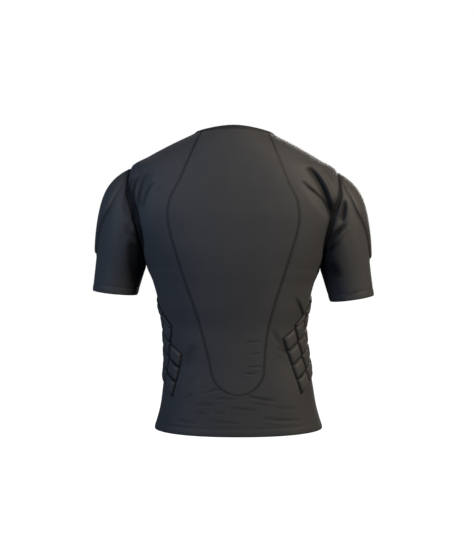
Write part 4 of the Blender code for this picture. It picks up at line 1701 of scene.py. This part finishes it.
@dataclass
class RibPad(FoamPad):
    """The pad of slanted foam tiles round one side of the waist, with channels between that get
    painted shade.
    """

    tiles: int = 5
    column_angle: float = math.radians(16.0)
    row_shift: float = math.radians(3.3)
    row_pitch: float = 0.0321
    top_row: float = 0.20
    top_row_growth: float = 0.30
    top_row_least: float = 0.15
    column_rise: float = 0.0235
    column_bow: float = 0.0020
    lift: float = 0.0002
    backing: float = 0.0005
    foam: float = 0.0056
    column_fill: float = 0.87
    row_fill: float = 0.88
    dome_power: int = 5
    shaded_below: float = 0.62
    steps: int = 16

    def build(self, materials: Materials) -> bpy.types.Object:
        """Rows run round the waist, and each tile is a full dome between narrow channels.

        A tile's height is the backing plus the foam times its dome in each direction. The
        columns climb round the waist and bow, and the top row is cut off along a slant.

        Args:
            materials: The shirt's materials, by finish.

        Returns:
            The piece.
        """
        within = clustered(self.steps)[:-1]
        line = (np.arange(self.tiles)[:, None] + within).ravel()
        line = np.append(line, float(self.tiles))
        columns, rows = np.meshgrid(line, line)
        layout = RIB_LAYOUTS[self.side]
        growing = self.top_row + self.top_row_growth * (columns - 1.0)
        growing = np.clip(growing, self.top_row_least, 1.0)
        drop = np.where(rows < 1.0, 1.0 - (1.0 - rows) * growing, rows)
        rise = self.column_rise * columns - self.column_bow * columns**2
        angles = layout.first_angle + self.column_angle * columns + self.row_shift * drop
        angles = self.side.value * angles
        levels = FORM.level_at(layout.top - self.row_pitch * drop + rise)
        outward = FORM.body_facing(angles, levels)
        inner = FORM.body(angles, levels) + self.lift * outward
        full = self.dome(columns, self.column_fill) * self.dome(rows, self.row_fill)
        outer = inner + (self.backing + self.foam * full)[..., None] * outward
        # Painted shade in the channels between tiles, full where the foam stands low
        painted_shade = np.clip(1.0 - full / self.shaded_below, 0.0, 1.0)
        middle_column = (columns[:-1, :-1] + columns[1:, 1:]) / 2.0
        middle_row = (rows[:-1, :-1] + rows[1:, 1:]) / 2.0
        kept = np.ones(middle_row.shape, bool)
        for tile_column, tile_row in layout.left_out:
            kept &= (np.floor(middle_column) != tile_column) | (np.floor(middle_row) != tile_row)
        pattern = FORM.pattern(angles, levels)
        return self.dress(Wall(outer, inner, pattern, painted_shade, kept=kept), materials)

    def dome(self, place: Points, share: float) -> Points:
        """How high the foam stands across one run of tiles, from 0 in a channel to 1.

        Args:
            place: The place across the run, counted in tiles.
            share: The share of a tile that the foam fills.

        Returns:
            The square root of one less the fifth power of the distance from the middle.
        """
        across = np.abs(2.0 * np.mod(place, 1.0) - 1.0)
        return np.sqrt(np.clip(1.0 - (across / share) ** self.dome_power, 0.0, 1.0))


class SeamLine(NamedTuple):
    """A line on the cloth: its points, outward normals, and whether it is a loop."""

    points: Points
    normals: Points
    loop: bool = False

    def closed(self, row: Points) -> Points:
        """One row of the line for each point, with the first again at the end of a loop."""
        return np.concatenate((row, row[:1])) if self.loop else row

    def stations(self, places: Points) -> tuple[Points, Points, Points]:
        """Points, normals and sideways directions at lengths along the line.

        Args:
            places: Lengths along the line.

        Returns:
            The three arrays, a row for each length.
        """
        points = self.closed(self.points)
        lengths = run_lengths(points)

        def read(rows: Points) -> Points:
            """The rows read between their entries, axis by axis."""
            return np.stack([np.interp(places, lengths, rows[:, axis]) for axis in range(3)], -1)

        out = unit(read(self.closed(self.normals)))
        along = unit(read(np.gradient(points, axis=0)))
        return read(points), out, unit(np.cross(along, out))

    @property
    def length(self) -> float:
        """Length of the whole line."""
        return float(run_lengths(self.closed(self.points))[-1])


class TubeBatch:
    """Many closed tubes gathered for one mesh."""

    def __init__(self, sides: int = 5) -> None:
        """An empty batch whose tubes all have this many sides."""
        self.sides = sides
        self.points: list[Points] = []
        self.faces: list[list[int]] = []
        self.count = 0

    def add(
        self,
        centres: Points,
        up: Points,
        across: Points,
        high: Points,
        wide: Points,
        loop: bool = False,
    ) -> None:
        """Add tubes of one ring count: each ring is an ellipse round its centre.

        Args:
            centres: The rings' centres, by tube and ring.
            up: Directions in which each ring is high.
            across: Directions in which each ring is wide.
            high: Half heights of a tube's rings.
            wide: Half widths of a tube's rings.
            loop: Whether each tube closes on itself, so that it has no ends.
        """
        tubes, rings = centres.shape[:2]
        around = np.linspace(0.0, 2.0 * math.pi, self.sides + 1)[:-1]
        lift = (high[:, None] * np.sin(around))[None, :, :, None] * up[:, :, None, :]
        push = (wide[:, None] * np.cos(around))[None, :, :, None] * across[:, :, None, :]
        self.points.append((centres[:, :, None, :] + lift + push).reshape(-1, 3))
        index = self.count + np.arange(tubes * rings * self.sides).reshape(tubes, rings, self.sides)
        self.count += tubes * rings * self.sides
        if loop:
            index = np.concatenate((index, index[:, :1]), axis=1)
        beside = np.roll(index, -1, axis=2)
        quads = np.stack((index[:, :-1], beside[:, :-1], beside[:, 1:], index[:, 1:]), axis=-1)
        self.faces.extend(quads.reshape(-1, 4).tolist())
        if not loop:
            self.faces.extend(index[:, 0, ::-1].tolist())
            self.faces.extend(index[:, -1].tolist())

    def build(self, name: str, material: bpy.types.Material) -> bpy.types.Object:
        """The batch as one named object in the frame's pose."""
        mesh = bpy.data.meshes.new(name)
        mesh.from_pydata(FORM.posed(np.concatenate(self.points)).tolist(), [], self.faces)
        return finished(name, mesh, material)


class SeamStyle(Enum):
    """How a line is sewn."""

    RUNNING = "a row of short stitches"
    FLATLOCK = "a thin binding in the seam with a cover thread to and fro across it"


@dataclass(frozen=True)
class Sewing:
    """Thread sizes, and how each style lays its threads along a line."""

    stitch: float = 0.0024
    gap: float = 0.0009
    thread: float = 0.00030
    cover_pitch: float = 0.0032
    cover_width: float = 0.0014
    cover_steps: int = 6
    least_swings: int = 4
    cover_lift: float = 1.25
    cover_rise: float = 0.2
    cover_thread: float = 0.8
    binding_width: float = 0.0018
    binding_height: float = 0.00025
    binding_bury: float = 0.5
    binding_step: float = 0.004
    least_rings: int = 8
    stitch_steps: int = 4
    stitch_rise: float = 0.8
    stitch_bury: float = 0.5
    stitch_end: float = 0.55
    stitch_swell: float = 0.45

    def sew(
        self,
        name: str,
        style: SeamStyle,
        lines: Sequence[SeamLine],
        sink: float,
        materials: Materials,
        slot: str = "stretch_cloth",
        thread: Finish = Finish.THREAD,
    ) -> bpy.types.Object:
        """Sew lines in one style, as one piece.

        Args:
            name: The piece's name.
            style: How they are sewn.
            lines: Where they run.
            sink: How far the cloth lies below the line.
            materials: The shirt's materials, by finish.
            slot: The slot that the thread goes with; not used.
            thread: The finish of the thread.

        Returns:
            The piece.
        """
        batch = TubeBatch()
        for line in lines:
            if style is SeamStyle.RUNNING:
                self.running(batch, line, sink)
            else:
                self.flatlock(batch, line, sink)
        piece = batch.build(name, materials[thread])
        return piece

    def running(self, batch: TubeBatch, line: SeamLine, sink: float) -> None:
        """Short stitches: each rises out of the cloth and back along half a sine wave.

        Args:
            batch: Where the tubes are gathered.
            line: The line to sew.
            sink: How far the cloth lies below the line.
        """
        count = max(1, int(line.length / (self.stitch + self.gap)))
        pitch = line.length / count
        share = np.linspace(0.0, 1.0, self.stitch_steps)
        starts = np.arange(count)[:, None] + 0.5 * self.gap / pitch
        at, up, across = line.stations(pitch * (starts + share * self.stitch / pitch))
        arch = np.sin(math.pi * share)
        lift = (self.stitch_rise * arch - self.stitch_bury) * self.thread - sink
        centres = at + lift[None, :, None] * up
        size = self.thread * (self.stitch_end + self.stitch_swell * arch)
        batch.add(centres, up, across, size, size)

    def flatlock(self, batch: TubeBatch, line: SeamLine, sink: float) -> None:
        """A flat binding along the seam, and one thread that swings over it on a sine wave.

        Args:
            batch: Where the tubes are gathered.
            line: The line to sew.
            sink: How far the cloth lies below the line.
        """
        rings = max(self.least_rings, int(line.length / self.binding_step))
        places = line.length * np.arange(rings) / (rings if line.loop else rings - 1)
        at, up, across = line.stations(places[None, :])
        high, wide = np.full(rings, self.binding_height), np.full(rings, self.binding_width)
        centres = at - (sink - self.binding_height * self.binding_bury) * up
        batch.add(centres, up, across, high, wide, line.loop)
        swings = max(self.least_swings, round(line.length / self.cover_pitch))
        count = swings * self.cover_steps
        places = line.length * np.arange(count) / (count if line.loop else count - 1)
        at, up, across = line.stations(places[None, :])
        phase = 2.0 * math.pi * swings * places / line.length
        lift = self.binding_height * self.cover_lift - sink
        lift = lift + self.cover_rise * self.thread * np.cos(2.0 * phase)
        swing = self.cover_width * np.sin(phase)
        path = at + lift[None, :, None] * up + swing[None, :, None] * across
        if line.loop:
            ahead = np.roll(path, -1, axis=1) - np.roll(path, 1, axis=1)
        else:
            ahead = np.gradient(path, axis=1)
        size = np.full(count, self.cover_thread * self.thread)
        batch.add(path, up, unit(np.cross(unit(ahead), up)), size, size, line.loop)


@dataclass(frozen=True)
class SeamMap:
    """Where every seam and row of stitches runs."""

    hem_rows: tuple[float, float] = (0.0158, 0.0182)
    hem_sink: float = 0.0004
    seam_sink: float = 0.0006
    armhole_sink: float = 0.0003
    shoulder_from: float = 0.001
    shoulder_short: float = 0.002
    side_short: float = 0.002
    hem_short: float = 0.0015
    neck_row: float = 0.0032
    neck_lift: float = 0.0001
    pad_lift: float = 0.0007
    pad_inset: float = 0.0042 / 0.066
    pad_end_share: float = 0.012
    pad_foot_steps: int = 6
    pad_top_steps: int = 38
    samples: int = 240

    def tongue(self) -> list[SeamLine]:
        """The centre back panel's seam, down the left, round the foot and up the right."""
        angle, level = FORM.tongue_seam(STEPS)
        angles = np.concatenate((-angle, angle[-2::-1]))
        levels = np.concatenate((level, level[-2::-1]))
        return [SeamLine(FORM.body(angles, levels), FORM.body_facing(angles, levels))]

    def sides(self, first: float, last: float) -> list[SeamLine]:
        """Both seams at 90 degrees round the body, between two levels."""
        level = np.linspace(first, last, self.samples)
        lines = []
        for side in Side:
            angle = np.full_like(level, side.value * math.pi / 2.0)
            lines.append(SeamLine(FORM.body(angle, level), FORM.body_facing(angle, level)))
        return lines

    def armholes(self) -> list[SeamLine]:
        """Both armholes, each a loop."""
        turn = np.linspace(-math.pi, math.pi, self.samples + 1)[:-1]
        lines = []
        for side in Side:
            normals = FORM.armhole_mitre(side, turn)
            points = FORM.armhole(side, turn) + np.array((SEAM_GAP / 2.0, 0.0, 0.0))
            points = points - FORM.armhole_sink(turn)[:, None] * normals
            lines.append(SeamLine(mirrored(points, side), mirrored(normals, side), loop=True))
        return lines

    def round_body(self, level: float) -> SeamLine:
        """A loop round the body at one level."""
        angle = np.linspace(0.0, 2.0 * math.pi, 2 * self.samples + 1)[:-1]
        levels = np.full_like(angle, level)
        return SeamLine(FORM.body(angle, levels), FORM.body_facing(angle, levels), loop=True)

    def hem(self) -> list[SeamLine]:
        """Two rows of stitches round the hem."""
        return [self.round_body(FORM.levels[-1] - row) for row in self.hem_rows]

    def cuffs(self) -> list[SeamLine]:
        """Two rows of stitches round each cuff, a share up the sleeve that its end's pull gives."""
        turn = np.linspace(-math.pi, math.pi, self.samples + 1)[:-1]
        pull = np.linalg.norm(FORM.cuff_pull(turn), axis=-1)
        lines = []
        for side in Side:
            for row in self.hem_rows:
                share = 1.0 - row / pull
                points = mirrored(FORM.sleeve(side, turn, share), side)
                normals = mirrored(FORM.sleeve_facing(side, turn, share), side)
                lines.append(SeamLine(points, normals, loop=True))
        return lines

    def shoulder_pads(self) -> list[SeamLine]:
        """A row of stitches inside each shoulder pad's outline."""
        rows = column(SHOULDER_PAD_ROWS, "share")
        end = self.pad_end_share
        share = np.linspace(rows[0] + end, rows[-1] - end, self.samples)
        back = np.radians(monotone(rows, column(SHOULDER_PAD_ROWS, "back"), share))
        front = np.radians(monotone(rows, column(SHOULDER_PAD_ROWS, "front"), share))
        back, front = back - self.pad_inset, front + self.pad_inset
        foot = np.linspace(back[-1], front[-1], self.pad_foot_steps + 2)[1:-1]
        top = np.linspace(front[0], back[0], self.pad_top_steps + 2)[1:-1]
        turns = np.concatenate((back, foot, front[::-1], top))
        foot_share, top_share = np.full_like(foot, share[-1]), np.full_like(top, share[0])
        shares = np.concatenate((share, foot_share, share[::-1], top_share))
        lines = []
        for side in Side:
            normals = FORM.sleeve_facing(side, turns, shares)
            points = FORM.sleeve(side, turns, shares)
            lines.append(SeamLine(mirrored(points, side), mirrored(normals, side), loop=True))
        return lines

    def sew_all(self, materials: Materials) -> list[bpy.types.Object]:
        """Every seam and row of stitches, each kind one piece.

        Args:
            materials: The shirt's materials, by finish.

        Returns:
            The pieces.
        """
        sewing, flat, run = Sewing(), SeamStyle.FLATLOCK, SeamStyle.RUNNING
        armpit = float(FORM.level_at(FORM.armpit)) + self.side_short
        shoulder = float(FORM.level_at(FORM.shoulder_point)) - self.shoulder_short
        sides = self.sides(armpit, FORM.levels[-1] - self.hem_short)
        shoulders = self.sides(self.shoulder_from, shoulder)
        neck = [self.round_body(self.neck_row)]
        return [
            sewing.sew("tongue_seam", flat, self.tongue(), self.seam_sink, materials),
            sewing.sew("side_seams", flat, sides, self.seam_sink, materials),
            sewing.sew("shoulder_seams", flat, shoulders, self.seam_sink, materials),
            sewing.sew(
                "armhole_seams", flat, self.armholes(), self.armhole_sink, materials,
                thread=Finish.ARMHOLE_THREAD,
            ),
            sewing.sew("neck_stitches", run, neck, -self.neck_lift, materials, "neckband"),
            sewing.sew("hem_stitches", run, self.hem(), self.hem_sink, materials),
            sewing.sew("cuff_stitches", run, self.cuffs(), self.hem_sink, materials),
            sewing.sew(
                "pad_stitches", run, self.shoulder_pads(), -self.pad_lift, materials, "pad_cloth"
            ),
        ]


class Softbox(NamedTuple):
    """A square soft light: its name, place, colour, power in watts and the length of its side."""

    name: str
    place: tuple[float, float, float]
    colour: Colour
    power: float
    size: float


SOFTBOXES = (
    Softbox("key", (1.45, -0.95, 0.82), (1.0, 0.85, 0.65), 62.0, 0.7),
    Softbox("fill", (-1.20, -1.05, 0.18), (0.58, 0.73, 1.0), 19.5, 1.0),
    Softbox("front", (0.7, 2.2, 0.3), (1.0, 0.97, 0.94), 45.0, 1.2),
)


@dataclass(frozen=True)
class Studio:
    """The pale floor, soft lights and camera of the photograph."""

    target: tuple[float, float, float] = (0.0045, 0.0, -0.326)
    distance: float = 3.0
    elevation: float = math.radians(4.0)
    lens: float = 86.3
    sensor: float = 36.0
    light_target: tuple[float, float, float] = (0.0, 0.0, -0.28)
    floor_height: float = -1.35
    floor_radius: float = 12.0
    floor_sides: int = 96
    floor_shade: tuple[float, float] = (0.88, 0.92)
    floor_noise: tuple[float, float] = (3.0, 3.0)
    floor_roughness: float = 0.9
    floor_specular: float = 0.1
    sky: Colour = (0.74, 0.86, 1.0)
    sky_strength: float = 0.085

    def camera(self) -> bpy.types.Object:
        """The camera behind the shirt, a little above its middle."""
        data = bpy.data.cameras.new("camera")
        data.lens = self.lens
        data.sensor_width = self.sensor
        item = bpy.data.objects.new("camera", data)
        x, y, z = self.target
        item.location = (
            x,
            y - self.distance * math.cos(self.elevation),
            z + self.distance * math.sin(self.elevation),
        )
        item.rotation_euler = (math.pi / 2.0 - self.elevation, 0.0, 0.0)
        bpy.context.scene.collection.objects.link(item)
        bpy.context.scene.camera = item
        return item

    def floor(self) -> bpy.types.Object:
        """A broad pale floor: one face whose corners lie evenly round a circle."""
        angle = np.linspace(0.0, 2.0 * math.pi, self.floor_sides + 1)[:-1]
        x, y = self.floor_radius * np.cos(angle), self.floor_radius * np.sin(angle)
        ring = np.stack((x, y, np.full_like(x, self.floor_height)), axis=-1)
        mesh = bpy.data.meshes.new("floor")
        mesh.from_pydata(ring.tolist(), [], [list(range(self.floor_sides))])
        board = NodeBoard("floor")
        least, most = self.floor_shade
        board.dress(
            Base_Color=board.spread(board.noise(*self.floor_noise), To_Min=least, To_Max=most),
            Roughness=self.floor_roughness,
            Specular_IOR_Level=self.floor_specular,
            Emission_Color=(1.0, 1.0, 1.0, 1.0),
            Emission_Strength=1.0,
        )
        mesh.materials.append(board.material)
        item = bpy.data.objects.new("floor", mesh)
        item.visible_diffuse = False
        item.visible_glossy = False
        bpy.context.scene.collection.objects.link(item)
        return item

    def softbox(self, light: Softbox) -> None:
        """Set up a soft light that shines at the shirt's middle."""
        data = bpy.data.lights.new(light.name, "AREA")
        data.energy = light.power
        data.color = light.colour
        data.size = light.size
        item = bpy.data.objects.new(light.name, data)
        item.location = light.place
        x, y, z = unit(np.array(light.place) - np.array(self.light_target))
        item.rotation_euler = (0.0, math.acos(z), math.atan2(y, x))
        bpy.context.scene.collection.objects.link(item)

    def world(self) -> None:
        """A white backdrop that lights the shirt more faintly than it looks."""
        world = bpy.data.worlds.new("studio")
        world.use_nodes = True
        nodes, links = world.node_tree.nodes, world.node_tree.links
        shown = nodes["Background"]
        shown.inputs["Color"].default_value = (1.0, 1.0, 1.0, 1.0)
        shown.inputs["Strength"].default_value = 1.0
        lit = nodes.new("ShaderNodeBackground")
        lit.inputs["Color"].default_value = (*self.sky, 1.0)
        lit.inputs["Strength"].default_value = self.sky_strength
        path = nodes.new("ShaderNodeLightPath")
        mix = nodes.new("ShaderNodeMixShader")
        links.new(path.outputs["Is Camera Ray"], mix.inputs[0])
        links.new(lit.outputs[0], mix.inputs[1])
        links.new(shown.outputs[0], mix.inputs[2])
        links.new(mix.outputs[0], nodes["World Output"].inputs["Surface"])
        bpy.context.scene.world = world

    def build(self) -> None:
        """The whole studio."""
        self.camera()
        self.floor()
        self.world()
        for light in SOFTBOXES:
            self.softbox(light)
        bpy.context.scene.view_settings.view_transform = "Standard"


def main() -> None:
    """Build the studio and every piece of the shirt, in order."""
    logging.basicConfig(level=logging.INFO, format="%(message)s")
    Studio().build()
    materials = {finish: finish.value.material() for finish in Finish}
    pieces = [
        CentreBack("centre_back_panel", Cut(0.262, 0.575, 0.110)),
        BackPanel("back_panel", Cut(0.60, 0.70, 0.185)),
        FrontPanel("front_panel", Cut(0.58, 0.66, 0.29)),
        Neckband("neckband", Cut(0.47, 0.0100, 0.0046), slot="neckband", finish=Finish.BAND),
        Sleeve("sleeve_right", Cut(0.44, 0.24, 0.064), side=Side.RIGHT),
        Sleeve("sleeve_left", Cut(0.44, 0.24, 0.064), side=Side.LEFT),
        ShoulderPad("shoulder_pad_right", Side.RIGHT),
        ShoulderPad("shoulder_pad_left", Side.LEFT),
        RibPad("rib_pad_right", Side.RIGHT),
        RibPad("rib_pad_left", Side.LEFT),
    ]
    for piece in pieces:
        made = piece.build(materials)
        LOG.info("%s: %d faces", made.name, len(made.data.polygons))
    for made in SeamMap().sew_all(materials):
        LOG.info("%s: %d faces", made.name, len(made.data.polygons))


if __name__ == "__main__":
    main()
